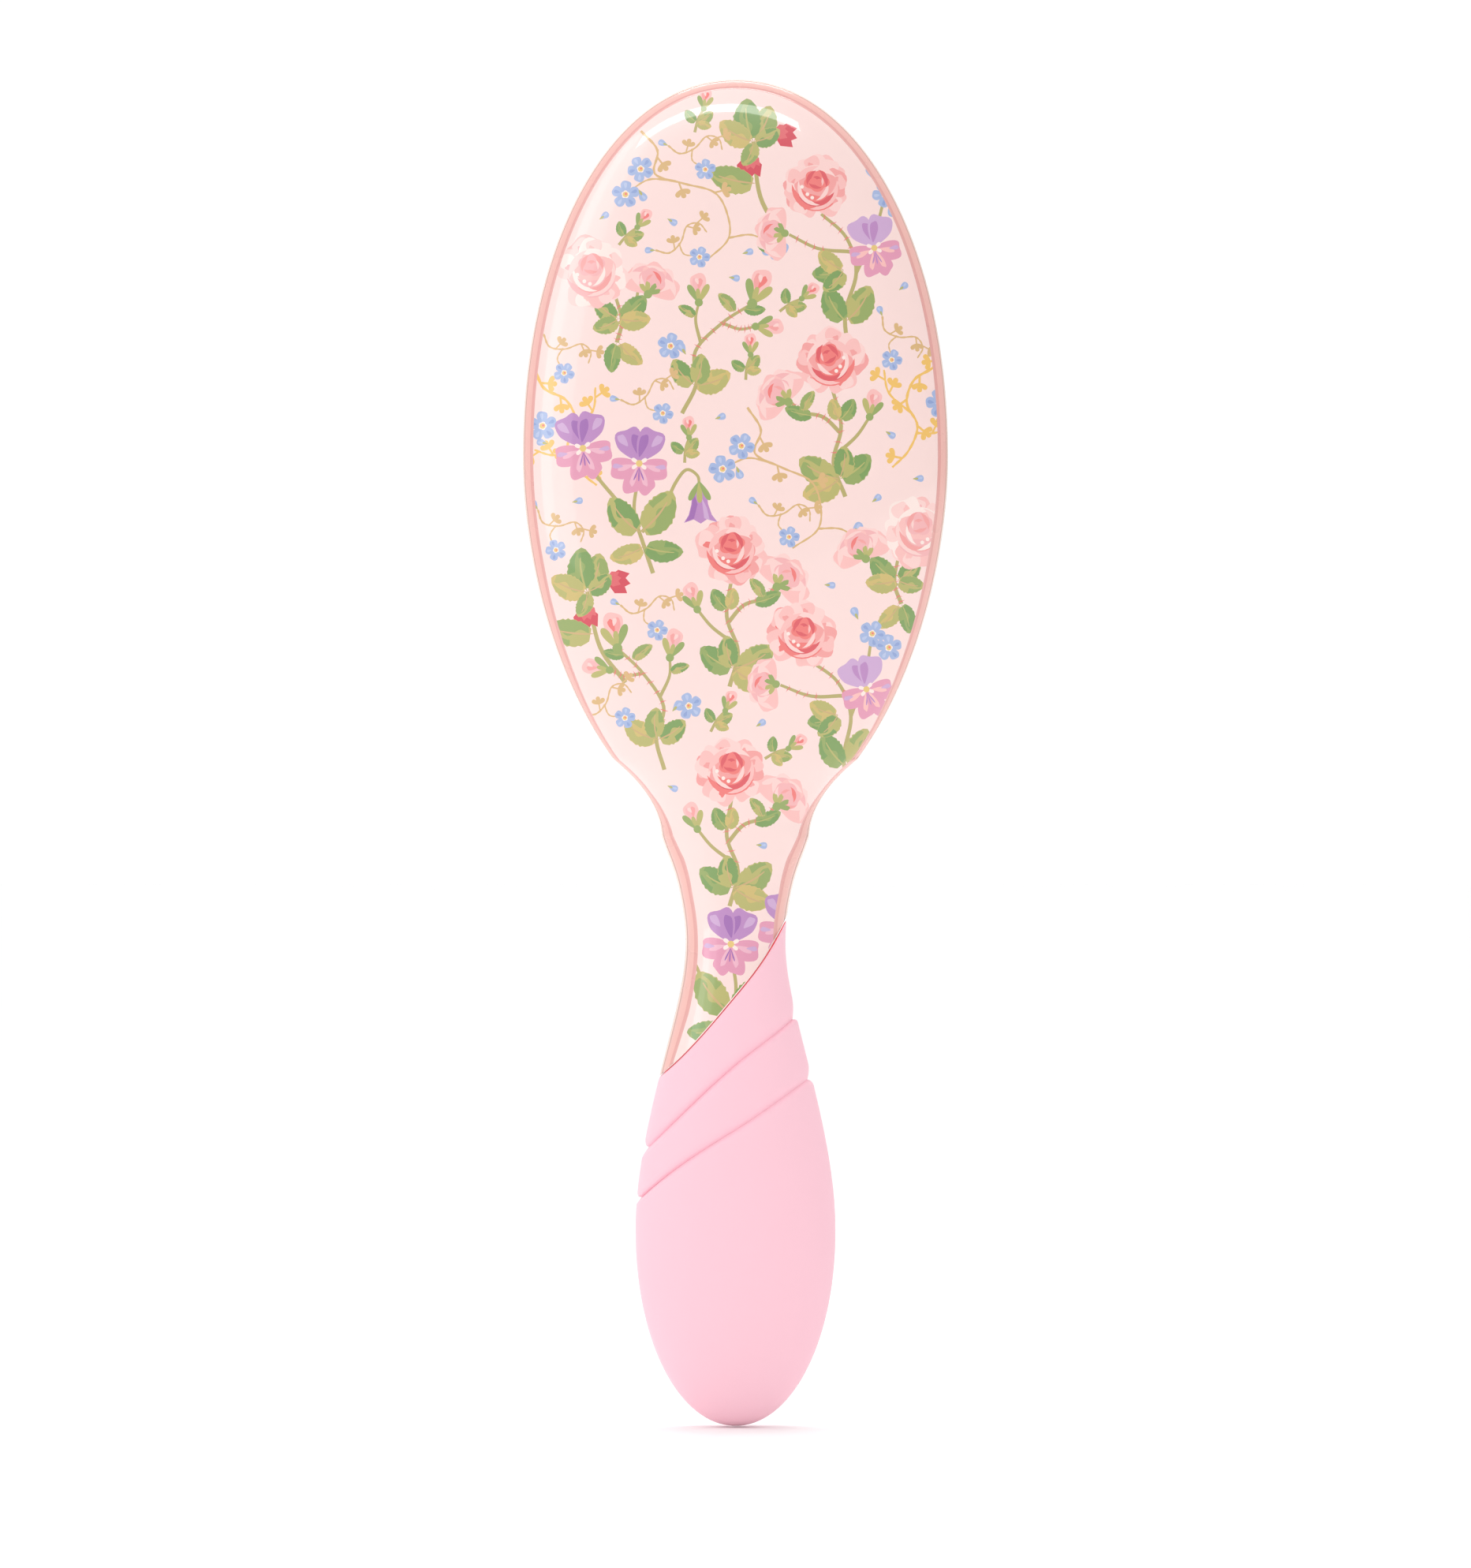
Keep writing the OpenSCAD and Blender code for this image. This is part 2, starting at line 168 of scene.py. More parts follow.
def half_width(z, inset=0):
    butt = (GRIP_HALF_WIDTH - inset) * superellipse(z / (BUTT_LENGTH - inset), BUTT_POWER)
    foot = HEAD_HALF_WIDTH * superellipse((HEAD_CENTRE_Z - z) / HEAD_FOOT_LENGTH, FOOT_POWER) - inset
    tip = (HEAD_HALF_WIDTH - inset) * superellipse(towards_tip(z, inset), TIP_POWER)
    grip_and_neck = curve(WIDTH_KNOTS, z) - inset
    return np.select([z < 0, z < HEAD_FOOT_Z, z < HEAD_CENTRE_Z], [butt, grip_and_neck, foot], tip)


def depth(z, side, inset=0):
    butt = (GRIP_DEPTH - inset) * superellipse(z / (BUTT_LENGTH - inset), BUTT_POWER)
    return np.where(z < 0, butt, curve(DEPTH_KNOTS[side], np.minimum(z, HEAD_CENTRE_Z)) - inset)


def section_power(z, side):
    return 2 + SECTION_GAIN[side] * smooth(FULLER_FROM_Z, FULLER_TO_Z, z)


def edge_power(z, side):
    return 2 + EDGE_GAIN[side] * smooth(FULLER_FROM_Z, FULLER_TO_Z, z)


def reach(x, z, inset=0):
    """How far a point lies from the middle of its section, 0, to the outline, 1."""
    tip = towards_tip(z, inset) ** TIP_POWER
    return np.sqrt(tip + (1 - tip) * (x / np.maximum(half_width(z, inset), TINY)) ** 2)


def skin_y(x, z, side, inset=0):
    """Height of the skin, or of a surface under it by the inset, seen from the seam plane."""
    fall = np.maximum(0, 1 - reach(x, z, inset) ** section_power(z, side)) ** (1 / edge_power(z, side))
    return side * depth(z, side, inset) * fall


def skin_normal(x, y, z, side):
    """Outward unit normals of the skin, from the slopes of the formula that it obeys."""
    step = NORMAL_STEP

    def excess(x, y, z):
        ratio = np.abs(y) / np.maximum(depth(z, side), TINY)
        return ratio ** edge_power(z, side) + reach(x, z) ** section_power(z, side)

    slopes = np.stack([
        excess(x + step, y, z) - excess(x - step, y, z),
        excess(x, y + step, z) - excess(x, y - step, z),
        excess(x, y, z + step) - excess(x, y, z - step),
    ], -1)
    return slopes / np.maximum(np.linalg.norm(slopes, axis=-1, keepdims=True), TINY)


def collar_at(x):
    return curve(COLLAR_LINE, x)


def slanted(level, x):
    """Height at x of the section that has this height on the middle line."""
    shifts = [0, curve(LOWER_GROOVE, x) - LOWER_GROOVE_Z, curve(UPPER_GROOVE, x) - UPPER_GROOVE_Z,
              collar_at(x) - COLLAR_Z, 0]
    levels = [0, LOWER_GROOVE_Z, UPPER_GROOVE_Z, COLLAR_Z, LEVEL_ABOVE_COLLAR]
    shift = np.zeros_like(x)
    for low, high, a, b in zip(levels, levels[1:], shifts, shifts[1:]):
        if low <= level <= high:
            shift = a + (b - a) * (level - low) / (high - low)
    return level + shift


def section(level, turn, inset=0):
    """Points round the grip at a slanted level. turn runs from the right edge over the back."""
    level = level * (BUTT_LENGTH - inset) / BUTT_LENGTH if level < 0 else level
    x = np.zeros_like(turn)
    for _ in range(SECTION_TURNS):
        x = half_width(slanted(level, x), inset) * np.cos(turn)
    z = slanted(level, x)
    y = -depth(z, BACK, inset) * np.sin(turn)
    return np.stack([x, y, z], -1)


def in_space(flat, y):
    """Points in space from an outline in the x-z plane and its heights."""
    return np.stack([flat.real, y, flat.imag], -1)


# ---- Solids gathered strip by strip ----

class Solid:
    """Points, faces and their materials. Points of the skin also have exact normals."""

    def __init__(self):
        self.points = []
        self.faces = []
        self.tints = []
        self.normals = {}

    def add(self, points):
        first = len(self.points)
        self.points.extend(tuple(p) for p in points)
        return list(range(first, len(self.points)))

    def face(self, numbers, tint):
        self.faces.append(tuple(numbers))
        self.tints.append(tint)

    def strip(self, one, other, tint, closed=True):
        """Four-sided faces between two lines of points. tint is a name, or a function of the place."""
        count = len(one)
        for i in range(count if closed else count - 1):
            j = (i + 1) % count
            self.face((one[i], one[j], other[j], other[i]), tint(i) if callable(tint) else tint)

    def fan(self, tip, ring, tint):
        for i, number in enumerate(ring):
            self.face((tip, number, ring[(i + 1) % len(ring)]), tint)

    def loft(self, rings, tint):
        """Strips between closed rings, each ring an array of points; returns their numbers."""
        numbers = [self.add(ring) for ring in rings]
        for one, other in zip(numbers, numbers[1:]):
            self.strip(one, other, tint)
        return numbers

    def exact(self, numbers, normals):
        for number, normal in zip(numbers, normals):
            self.normals[number] = tuple(normal)

    def piece(self, name, materials, sharp=40):
        """A mesh object in metres, with one material slot for each tint that it uses."""
        names = sorted(set(self.tints))
        mesh = bpy.data.meshes.new(name)
        mesh.from_pydata([tuple(c * MM for c in p) for p in self.points], [], self.faces)
        for tint in names:
            mesh.materials.append(materials[tint])
        mesh.polygons.foreach_set("material_index", [names.index(t) for t in self.tints])
        mesh.polygons.foreach_set("use_smooth", [True] * len(self.faces))
        shape = bmesh.new()
        shape.from_mesh(mesh)
        bmesh.ops.recalc_face_normals(shape, faces=shape.faces)
        shape.to_mesh(mesh)
        shape.free()
        mesh.set_sharp_from_angle(angle=math.radians(sharp))
        if self.normals:
            skin = np.zeros((len(self.points), 3))
            skin[list(self.normals)] = list(self.normals.values())
            corners = np.zeros(len(mesh.loops), int)
            mesh.loops.foreach_get("vertex_index", corners)
            mesh.normals_split_custom_set(skin[corners])
        obj = bpy.data.objects.new(name, mesh)
        bpy.context.scene.collection.objects.link(obj)
        return obj


# ---- Flat outlines ----

INSIDE_ONLY = 1  # the triangulation leaves out what lies outside every outline
MERGE_DISTANCE = 1e-5
ON_LOOP = 0.01


def resample(line, count):
    """The same open line with count equal steps."""
    length = np.concatenate([[0], np.cumsum(np.abs(np.diff(line)))])
    want = np.linspace(0, length[-1], count + 1)
    return np.interp(want, length, line.real) + 1j * np.interp(want, length, line.imag)


def pick(loop, where):
    """Points of a closed loop at places given as point numbers with fractions."""
    low = np.floor(where).astype(int)
    share = where - low
    return loop[low % len(loop)] * (1 - share) + loop[(low + 1) % len(loop)] * share


def place_on(loop, points):
    """Where points lie on a closed loop, as point numbers with fractions, and how far off it they are."""
    span = np.roll(loop, -1) - loop
    away = points[:, None] - loop
    share = np.clip((away * span.conj()).real / np.abs(span) ** 2, 0, 1)
    gaps = np.abs(away - share * span)
    nearest = gaps.argmin(1)
    rows = np.arange(len(points))
    return (nearest + share[rows, nearest]) % len(loop), gaps[rows, nearest]


def inside(loop, points):
    """True for the points inside a closed loop."""
    after = np.roll(loop, -1)
    crosses = (loop.imag > points.imag[:, None]) != (after.imag > points.imag[:, None])
    rise = np.where(np.abs(after.imag - loop.imag) < TINY, TINY, after.imag - loop.imag)
    at = loop.real + (points.imag[:, None] - loop.imag) * (after.real - loop.real) / rise
    return (crosses & (points.real[:, None] < at)).sum(1) % 2 == 1


def mesh_points(loop, step):
    """Points of a triangular pattern that lie inside a loop and not too near it."""
    xs = np.arange(loop.real.min(), loop.real.max(), step)
    zs = np.arange(loop.imag.min(), loop.imag.max(), step * math.sqrt(3) / 2)
    rows = [xs + (step / 2 if i % 2 else 0) + 1j * z for i, z in enumerate(zs)]
    points = np.concatenate(rows)
    points = points[inside(loop, points)]
    return points[place_on(loop, points)[1] > step / 2]


def triangulate(loops, shapes, extra):
    """Triangles inside the first loop and outside the others, cut along the edges of the shapes.

    Each shape is (outline, tint) and lies over those before it. Returns the points, the triangles and the
    tint of each triangle, None where no shape covers it."""
    outlines = [*loops, *[outline for outline, _ in shapes]]
    flat = np.concatenate([*outlines, extra])
    faces = []
    start = 0
    for outline in outlines:
        faces.append(list(range(start, start + len(outline))))
        start += len(outline)
    found = delaunay_2d_cdt([Vector((p.real, p.imag)) for p in flat], [], faces, INSIDE_ONLY, MERGE_DISTANCE,
                              True)
    points = np.array([complex(p[0], p[1]) for p in found[0]])
    triangles = []
    tints = []
    holes = set(range(1, len(loops)))
    for triangle, sources in zip(found[2], found[5]):
        if 0 not in sources or holes.intersection(sources):
            continue
        triangles.append(tuple(triangle))
        top = max(sources) - len(loops)
        tints.append(shapes[top][1] if top >= 0 else None)
    used = sorted({number for triangle in triangles for number in triangle})
    renumber = {number: i for i, number in enumerate(used)}
    triangles = [tuple(renumber[number] for number in triangle) for triangle in triangles]
    return points[used], triangles, tints


def rims(points, triangles, loops):
    """For each loop, the numbers of the points that ended up on it, in order, and their places on it."""
    edges = {}
    for triangle in triangles:
        for a, b in zip(triangle, triangle[1:] + triangle[:1]):
            key = (min(a, b), max(a, b))
            edges[key] = edges.get(key, 0) + 1
    border = np.array(sorted({number for key, uses in edges.items() if uses == 1 for number in key}))
    found = []
    for loop in loops:
        where, gap = place_on(loop, points[border])
        near = gap < ON_LOOP
        order = np.argsort(where[near])
        found.append((border[near][order], where[near][order]))
    return found


# ---- Edge lines of the shells ----

# How far the print ends inside the outline, as [height, inset]
PRINT_INSETS = [[28, 1.7], [37, 2.3], [49, 2.1], [57, 2.1], [62.8, 2.5], [66.1, 2.1], [69.5, 1.5],
                [74, 0.9], [80, 0.9], [95, 1.5], [112, 1.8]]
TOP_INSET = 1.8
OUTLINE_START_Z = 18
SIDE_STEPS = 420
COLLAR_STEPS = 44
OVAL_STEPS = 192
LINE_SAMPLES = 900
TIP_SAMPLES = 1200
COLLAR_SAMPLES = 400
COLLAR_ROUND = 0.2
RIM_STEP = 0.3
RIM_STEP_SHARE = 0.06
# Up to this share the rim beside the print is a darker pink of painted shade
PAINTED_SHADE_SHARE = 0.16
# The fine groove's strip of painted shade ends at this share
GROOVE_SHADE_SHARE = 0.65
SEAM_CHAMFER = 0.12
SEAM_GAP = 0.003
GROOVE_SHARE = 0.6
FINE_GROOVE = 0.12
RIM_SHARES = [0, 0.02, 0.05, 0.1, 0.16, 0.25, 0.35, 0.46, 0.55, 0.6, 0.65, 0.72, 0.8, 0.87, 0.92, 0.96, 1]


def print_inset(z):
    knots = np.array(PRINT_INSETS)
    return np.interp(z, knots[:, 0], knots[:, 1])


def side_line(share, flat_inset=0):
    """Up the right edge, over the tip and down the left edge.

    The line lies inside the outline by a share of the print's inset and by a flat inset."""
    z = np.linspace(OUTLINE_START_Z, HEAD_CENTRE_Z, LINE_SAMPLES)[:-1]
    x = half_width(z) - print_inset(z) * share - flat_inset
    turn = np.linspace(0, np.pi, TIP_SAMPLES)
    top_inset = TOP_INSET * share + flat_inset
    across = np.sign(np.cos(turn)) * np.abs(np.cos(turn)) ** (2 / TIP_POWER)
    up = np.sin(turn) ** (2 / TIP_POWER)
    top = (HEAD_HALF_WIDTH - top_inset) * across + 1j * (HEAD_CENTRE_Z + (HEAD_TIP_LENGTH - top_inset) * up)
    right = x + 1j * z
    return np.concatenate([right, top, -right[::-1].conj()])


def edge_loop(share, flat_inset, above_collar):
    """Closed loop round the glossy part: its side line, then back along the collar."""
    def collar_height(x):
        slope = (collar_at(x + 0.01) - collar_at(x)) / 0.01
        return collar_at(x) + above_collar * np.sqrt(1 + slope * slope)

    line = side_line(share, flat_inset)
    over = line.imag - collar_height(line.real)
    kept = np.flatnonzero(over > 0)
    first, last = kept[0], kept[-1]

    def crossing(low, high):
        part = over[low] / (over[low] - over[high])
        return line[low] + (line[high] - line[low]) * part

    start, end = crossing(first - 1, first), crossing(last, last + 1)
    side = resample(np.concatenate([[start], line[first:last + 1], [end]]), SIDE_STEPS)
    x = np.linspace(end.real, start.real, COLLAR_SAMPLES)
    collar = resample(x + 1j * collar_height(x), COLLAR_STEPS)
    return np.concatenate([side, collar[1:-1]])


def oval(grow):
    """The cushion's opening, made wider and longer by grow."""
    turn = np.linspace(0, 2 * np.pi, OVAL_STEPS, endpoint=False)
    return ((OPENING_HALF_WIDTH + grow) * np.cos(turn)
            + 1j * (CUSHION_CENTRE_Z + (OPENING_HALF_LENGTH + grow) * np.sin(turn)))


# ---- The two shells ----

CORE_LEVELS = [46, 43, COLLAR_Z, 34, UPPER_GROOVE_Z, 22, LOWER_GROOVE_Z, 10, 0, -10, -18, -24, -28, -30.5]
LIP_ROUND = 0.6
LIP_STEPS = 6
PRINT_POINT_STEP = 2.6
INNER_POINT_STEP = 4
CORE_STEPS = 33
EDGE_POINT_INSETS = [0.35, 0.9, 1.7, 2.8, 4.2]


def shell(side, shapes, opening):
    """One glossy shell: skin, rim, seam face, collar edge, inner surface and the core inside the grip."""
    solid = Solid()
    above = COLLAR_ROUND
    loops = [edge_loop(1, 0, above)]
    if opening:
        loops.append(oval(LIP_ROUND))
    extra = [mesh_points(edge_loop(1, EDGE_POINT_INSETS[-1], above + 1), PRINT_POINT_STEP)]
    for inset in EDGE_POINT_INSETS:
        line = edge_loop(1, inset, above + inset)
        extra.append(line[::2])
    extra = np.concatenate(extra)
    if opening:
        hole = loops[1]
        extra = extra[~inside(hole, extra)]
        extra = extra[place_on(hole, extra)[1] > 0.5]
    flat, triangles, tints = triangulate(loops, shapes, extra)
    y = skin_y(flat.real, flat.imag, side)
    numbers = solid.add(in_space(flat, y))
    solid.exact(numbers, skin_normal(flat.real, y, flat.imag, side))
    plain = "ground" if side == BACK else "pink"
    for triangle, tint in zip(triangles, tints):
        solid.face(triangle, tint or plain)
    borders = rims(flat, triangles, loops)
    add_edge(solid, side, borders[0])
    inner_loops = [(edge_loop(0, WALL, 0), borders[0][1])]
    if opening:
        inner_loops.append((oval(0), borders[1][1]))
        add_lip(solid, side, borders[1])
    add_inner(solid, side, inner_loops)
    add_core(solid, side)
    return solid


def rim_tint_at(share):
    """The back's rim: a step beside the print in a darker pink that is painted shade, plain pink, a fine
    groove in a grey pink that is painted shade, and a paler outer edge that is a painted reflection.
    """
    if share <= PAINTED_SHADE_SHARE:
        return "pink_shade"
    if share < GROOVE_SHARE:
        return "pink"
    return "pink_line" if share <= GROOVE_SHADE_SHARE else "pink_pale"


def add_edge(solid, side, border):
    """Rim from the print's edge to the seam, and the rounded edge that drops to the core at the collar."""
    ring, where = border
    on_collar = where > SIDE_STEPS
    plain = "ground" if side == BACK else "pink"
    previous = [int(n) for n in ring]
    for share in RIM_SHARES[1:]:
        keep = (1 - share) ** 2
        above = COLLAR_ROUND * (1 - share)
        rounding = COLLAR_ROUND - math.sqrt(max(0, COLLAR_ROUND ** 2 - (COLLAR_ROUND - above) ** 2))
        step = 0
        pulled_in = SEAM_GAP * (1 - keep)
        rim_tint = "pink"
        if side == BACK:
            step = RIM_STEP * keep * min(1, share / RIM_STEP_SHARE)
            pulled_in += FINE_GROOVE if share == GROOVE_SHARE else 0
            rim_tint = rim_tint_at(share)
        flat = pick(edge_loop(keep, SEAM_GAP * (1 - keep), above), where)
        drop = np.where(on_collar, rounding, step)
        y = side * np.maximum(0, np.abs(skin_y(flat.real, flat.imag, side)) - drop)
        numbers = solid.add(in_space(pick(edge_loop(keep, pulled_in, above), where), y))
        solid.strip(previous, numbers, lambda i, rim_tint=rim_tint: plain if on_collar[i] else rim_tint)
        previous = numbers
    chamfer = pick(edge_loop(0, SEAM_CHAMFER, 0), where)
    y = np.where(on_collar, skin_y(chamfer.real, chamfer.imag, side, 1), 0)
    numbers = solid.add(in_space(chamfer, y))
    # On the collar this strip drops into the gap in the deep red of painted shade with its painted glow
    solid.strip(previous, numbers, lambda i: "gap" if on_collar[i] else "pink")
    solid.outer_ring = numbers


def add_lip(solid, side, border):
    """Rounded lip of the opening and its wall down to the inner surface."""
    ring, where = border
    previous = [int(n) for n in ring]
    for turn in np.linspace(0, np.pi / 2, LIP_STEPS)[1:]:
        flat = pick(oval(LIP_ROUND * (1 - math.sin(turn))), where)
        y = skin_y(flat.real, flat.imag, side) - side * LIP_ROUND * (1 - math.cos(turn))
        numbers = solid.add(in_space(flat, y))
        solid.strip(previous, numbers, "pink")
        previous = numbers
    solid.lip_ring = previous


def add_inner(solid, side, inner_loops):
    """Surface under the skin by the wall, joined to the seam face and to the opening's wall."""
    loops = [pick(loop, where) for loop, where in inner_loops]
    extra = mesh_points(loops[0], INNER_POINT_STEP)
    if len(loops) > 1:
        extra = extra[~inside(loops[1], extra)]
        extra = extra[place_on(loops[1], extra)[1] > 1]
    flat, triangles, _ = triangulate(loops, [], extra)
    numbers = solid.add(in_space(flat, skin_y(flat.real, flat.imag, side, WALL)))
    for triangle in triangles:
        solid.face([numbers[n] for n in triangle], "hidden")
    borders = rims(flat, triangles, loops)
    solid.strip(solid.outer_ring, [numbers[n] for n in borders[0][0]], "hidden")
    if len(loops) > 1:
        solid.strip(solid.lip_ring, [numbers[n] for n in borders[1][0]], "pink")


def add_core(solid, side):
    """The half tube that runs from the neck to the butt inside the grip."""
    start = 0 if side == BACK else np.pi
    turn = np.linspace(start, start + np.pi, CORE_STEPS)
    rings = [
        np.concatenate([section(level, turn, SLEEVE), section(level, turn[::-1], SLEEVE + WALL)])
        for level in CORE_LEVELS
    ]
    # The core takes the gap's deep red of painted shade with its painted glow
    numbers = solid.loft(rings, "gap")
    half = len(turn)
    for ring in (numbers[0], numbers[-1]):
        solid.strip(ring[:half], ring[:half - 1:-1], "gap", closed=False)


# ---- Grip ----

COLLAR_GAP = 0.16
GROOVE_DEPTH = 0.85
GROOVE_ABOVE = 2.6
GROOVE_BELOW = 1.3
AROUND = 160


def groove_inset(level):
    """How deep the grip's surface lies at a level: creases with a long fall above and a short one below."""
    total = 0
    for groove in (UPPER_GROOVE_Z, LOWER_GROOVE_Z):
        away = level - groove
        share = min(1, away / GROOVE_ABOVE if away > 0 else -away / GROOVE_BELOW)
        total += GROOVE_DEPTH * (1 - share) ** 2.4
    return total


def grip():
    """The soft sleeve: slanting bands parted by creases, a rounded collar edge and a domed butt."""
    solid = Solid()
    turn = np.linspace(0, 2 * np.pi, AROUND, endpoint=False)
    top = COLLAR_Z - COLLAR_GAP
    edge = [(top, SLEEVE), (top, 0.55), (top - 0.06, 0.26), (top - 0.22, 0.09), (top - 0.5, 0.02)]
    spread = list(np.linspace(top - 0.9, UPPER_GROOVE_Z + GROOVE_ABOVE, 10))
    for groove, until in ((UPPER_GROOVE_Z, LOWER_GROOVE_Z + GROOVE_ABOVE), (LOWER_GROOVE_Z, 12)):
        away = GROOVE_ABOVE * np.linspace(1, 0, 14)[1:-1] ** 1.6
        spread += [groove + a for a in away] + [groove]
        spread += [groove - GROOVE_BELOW * s ** 1.6 for s in np.linspace(0, 1, 10)[1:]]
        spread += list(np.linspace(groove - GROOVE_BELOW, until, 6))[1:]
    spread += list(np.linspace(12, 0, 9))[1:]
    spread += [-BUTT_LENGTH * math.sin(a) for a in np.linspace(0, np.pi / 2, 34)[1:-1]]
    rings = [section(level, turn, inset) for level, inset in edge]
    rings += [section(level, turn, groove_inset(level)) for level in spread]
    numbers = solid.loft(rings, "grip")
    butt = solid.add([(0, 0, -BUTT_LENGTH)])[0]
    solid.fan(butt, numbers[-1], "grip")
    inner_levels = [top, 34, UPPER_GROOVE_Z, 22, LOWER_GROOVE_Z, 8, 0, -12, -22, -28, -31]
    inner = [section(level, turn, SLEEVE) for level in inner_levels[1:]]
    inner_numbers = solid.loft(inner, "grip")
    solid.strip(numbers[0], inner_numbers[0], "grip")
    pole = solid.add([(0, 0, SLEEVE - BUTT_LENGTH)])[0]
    solid.fan(pole, inner_numbers[-1], "grip")
    return solid


# ---- Cushion and bristles ----

ROWS = 17
ROW_PITCH = 5.4
COLUMN_PITCH = 5.6
FIELD_HALF_WIDTH = 25.4
FIELD_HALF_LENGTH = 47
BORE_RADIUS = 0.68
MOUND_RADIUS = 2.1
MOUND_HEIGHT = 0.38
VENT_Z = CUSHION_CENTRE_Z - 49
VENT_RADIUS = 0.8
RUBBER_EDGE = -0.2
RUBBER_POINT_STEP = 2.2
SEAT_Y = 2.9
FLANGE_Y = 1.7


def rubber_y(flat):
    across = flat.real / OPENING_HALF_WIDTH
    along = (flat.imag - CUSHION_CENTRE_Z) / OPENING_HALF_LENGTH
    return CROWN_Y - CUSHION_RISE * (across ** 2 + along ** 2)


def row_z(row):
    return CUSHION_CENTRE_Z + (row - (ROWS + 1) / 2) * ROW_PITCH


def row_places(row):
    """Places across a row. Every other row is shifted by half a pitch."""
    reach_x = FIELD_HALF_WIDTH * math.sqrt(1 - ((row_z(row) - CUSHION_CENTRE_Z) / FIELD_HALF_LENGTH) ** 2)
    shift = 0 if row % 2 else 0.5
    most = math.floor(reach_x / COLUMN_PITCH - shift)
    count = int(2 * most + 2 * shift) + 1
    return [(i - (count - 1) / 2) * COLUMN_PITCH for i in range(count)]


def circle(centre, radius, count=20):
    return centre + radius * np.exp(2j * np.pi * np.arange(count) / count)


def cushion():
    """The rubber membrane: a dome with a small mound round each bristle, an air vent and a flange."""
    solid = Solid()
    holes = [complex(x, row_z(row)) for row in range(1, ROWS + 1) for x in row_places(row)]
    edge = oval(RUBBER_EDGE)
    vent = circle(1j * VENT_Z, VENT_RADIUS, 24)
    loops = [edge, vent] + [circle(hole, BORE_RADIUS) for hole in holes]
    mound_shares = [0.16, 0.36, 0.58, 0.8, 1]
    rings = [
        circle(hole, BORE_RADIUS + (MOUND_RADIUS - BORE_RADIUS) * share)
        for hole in holes for share in mound_shares
    ]
    spread = mesh_points(oval(-1), RUBBER_POINT_STEP)
    centres = np.array(holes + [1j * VENT_Z])
    clear = np.abs(spread[:, None] - centres).min(1) > MOUND_RADIUS + 0.3
    extra = np.concatenate([*rings, spread[clear], oval(-0.35), oval(-0.7), circle(1j * VENT_Z, 1.3)])
    flat, triangles, _ = triangulate(loops, [], extra)
    nearest = np.abs(flat[:, None] - np.array(holes)).min(1)
    share = np.clip((nearest - BORE_RADIUS) / (MOUND_RADIUS - BORE_RADIUS), 0, 1)
    mound = MOUND_HEIGHT * (0.5 + 0.5 * np.cos(np.pi * share)) * smooth(-0.35, 0.2, share)
    roll = 0.5 * smooth(0.9, 0, place_on(edge, flat)[1]) ** 2
    top = solid.add(in_space(flat, rubber_y(flat) + mound - roll))
    under = solid.add(in_space(flat, rubber_y(flat) - RUBBER))
    for triangle in triangles:
        solid.face([top[n] for n in triangle], "rubber")
        solid.face([under[n] for n in triangle[::-1]], "rubber")
    borders = rims(flat, triangles, loops)
    for ring, _ in borders[1:]:
        solid.strip([top[n] for n in ring], [under[n] for n in ring], "rubber")
    ring, where = borders[0]
    rows = [(RUBBER_EDGE, SEAT_Y + 0.15), (0, SEAT_Y), (FLANGE_REACH, SEAT_Y), (FLANGE_REACH, FLANGE_Y),
            (-1.6, FLANGE_Y)]
    previous = [top[n] for n in ring]
    for grow, y in rows:
        line = pick(oval(grow), where)
        numbers = solid.add(in_space(line, np.full(len(line), y)))
        solid.strip(previous, numbers, "rubber")
        previous = numbers
    solid.strip(previous, [under[n] for n in ring], "rubber")
    return solid


# ---- Print: small flowers drawn as filled outlines ----

SPLINE_STEPS = 7
STROKE_CHUNK = 5
THORN_LENGTH = 0.68
THORN_FOOT = 0.1


def turned(angle):
    return complex(math.cos(angle), math.sin(angle))


@dataclass
class Pen:
    """Draws filled outlines in its own moved, turned, scaled and perhaps mirrored coordinates."""

    shapes: list
    chance: np.random.Generator
    origin: complex = 0
    spin: complex = 1
    mirrored: bool = False

    def put(self, points):
        points = np.asarray(points)
        return self.origin + self.spin * (points.conj() if self.mirrored else points)

    def at(self, point, angle=0, scale=1, mirror=False):
        turn = turned(-angle if self.mirrored else angle) * scale
        place = complex(self.put(point))
        return Pen(self.shapes, self.chance, place, self.spin * turn, self.mirrored != mirror)

    def fill(self, points, tint):
        outline = self.put(points)
        area = (outline.conj() * np.roll(outline, -1)).imag.sum()
        self.shapes.append((outline if area > 0 else outline[::-1], tint))

    def vary(self, amount):
        return self.chance.uniform(-amount, amount)


def lobed(lobes, notch, count=60, phase=0.0, flatness=1.0):
    """A round outline of radius 1 with rounded lobes and sharp notches."""
    turn = np.linspace(0, 2 * np.pi, count, endpoint=False)
    size = 1 - notch * (1 - np.abs(np.cos(lobes * turn / 2 + phase)))
    return size * (np.cos(turn) + 1j * flatness * np.sin(turn))


def crescent(radius, thick, span, count=11):
    """An arc that tapers to its ends, centred on the +x direction."""
    turn = np.linspace(-span, span, count)
    outer = radius * np.exp(1j * turn)
    inner = (radius - thick * np.cos(np.pi * turn / (2 * span))) * np.exp(1j * turn)
    return np.concatenate([outer, inner[-2:0:-1]])


def petal(width, ripple=0.04, waves=5, count=26, phase=0.0):
    """A petal of length 1 from the origin along +x, narrow at its base, with a rippled edge."""
    turn = np.linspace(0, 2 * np.pi, count, endpoint=False)
    along = (1 - np.cos(turn)) / 2
    size = 1 + ripple * np.sin(waves * turn + phase) * along
    return along * size + 1j * width / 2 * np.sin(turn) * (0.3 + 0.7 * along) * 1.25 * size


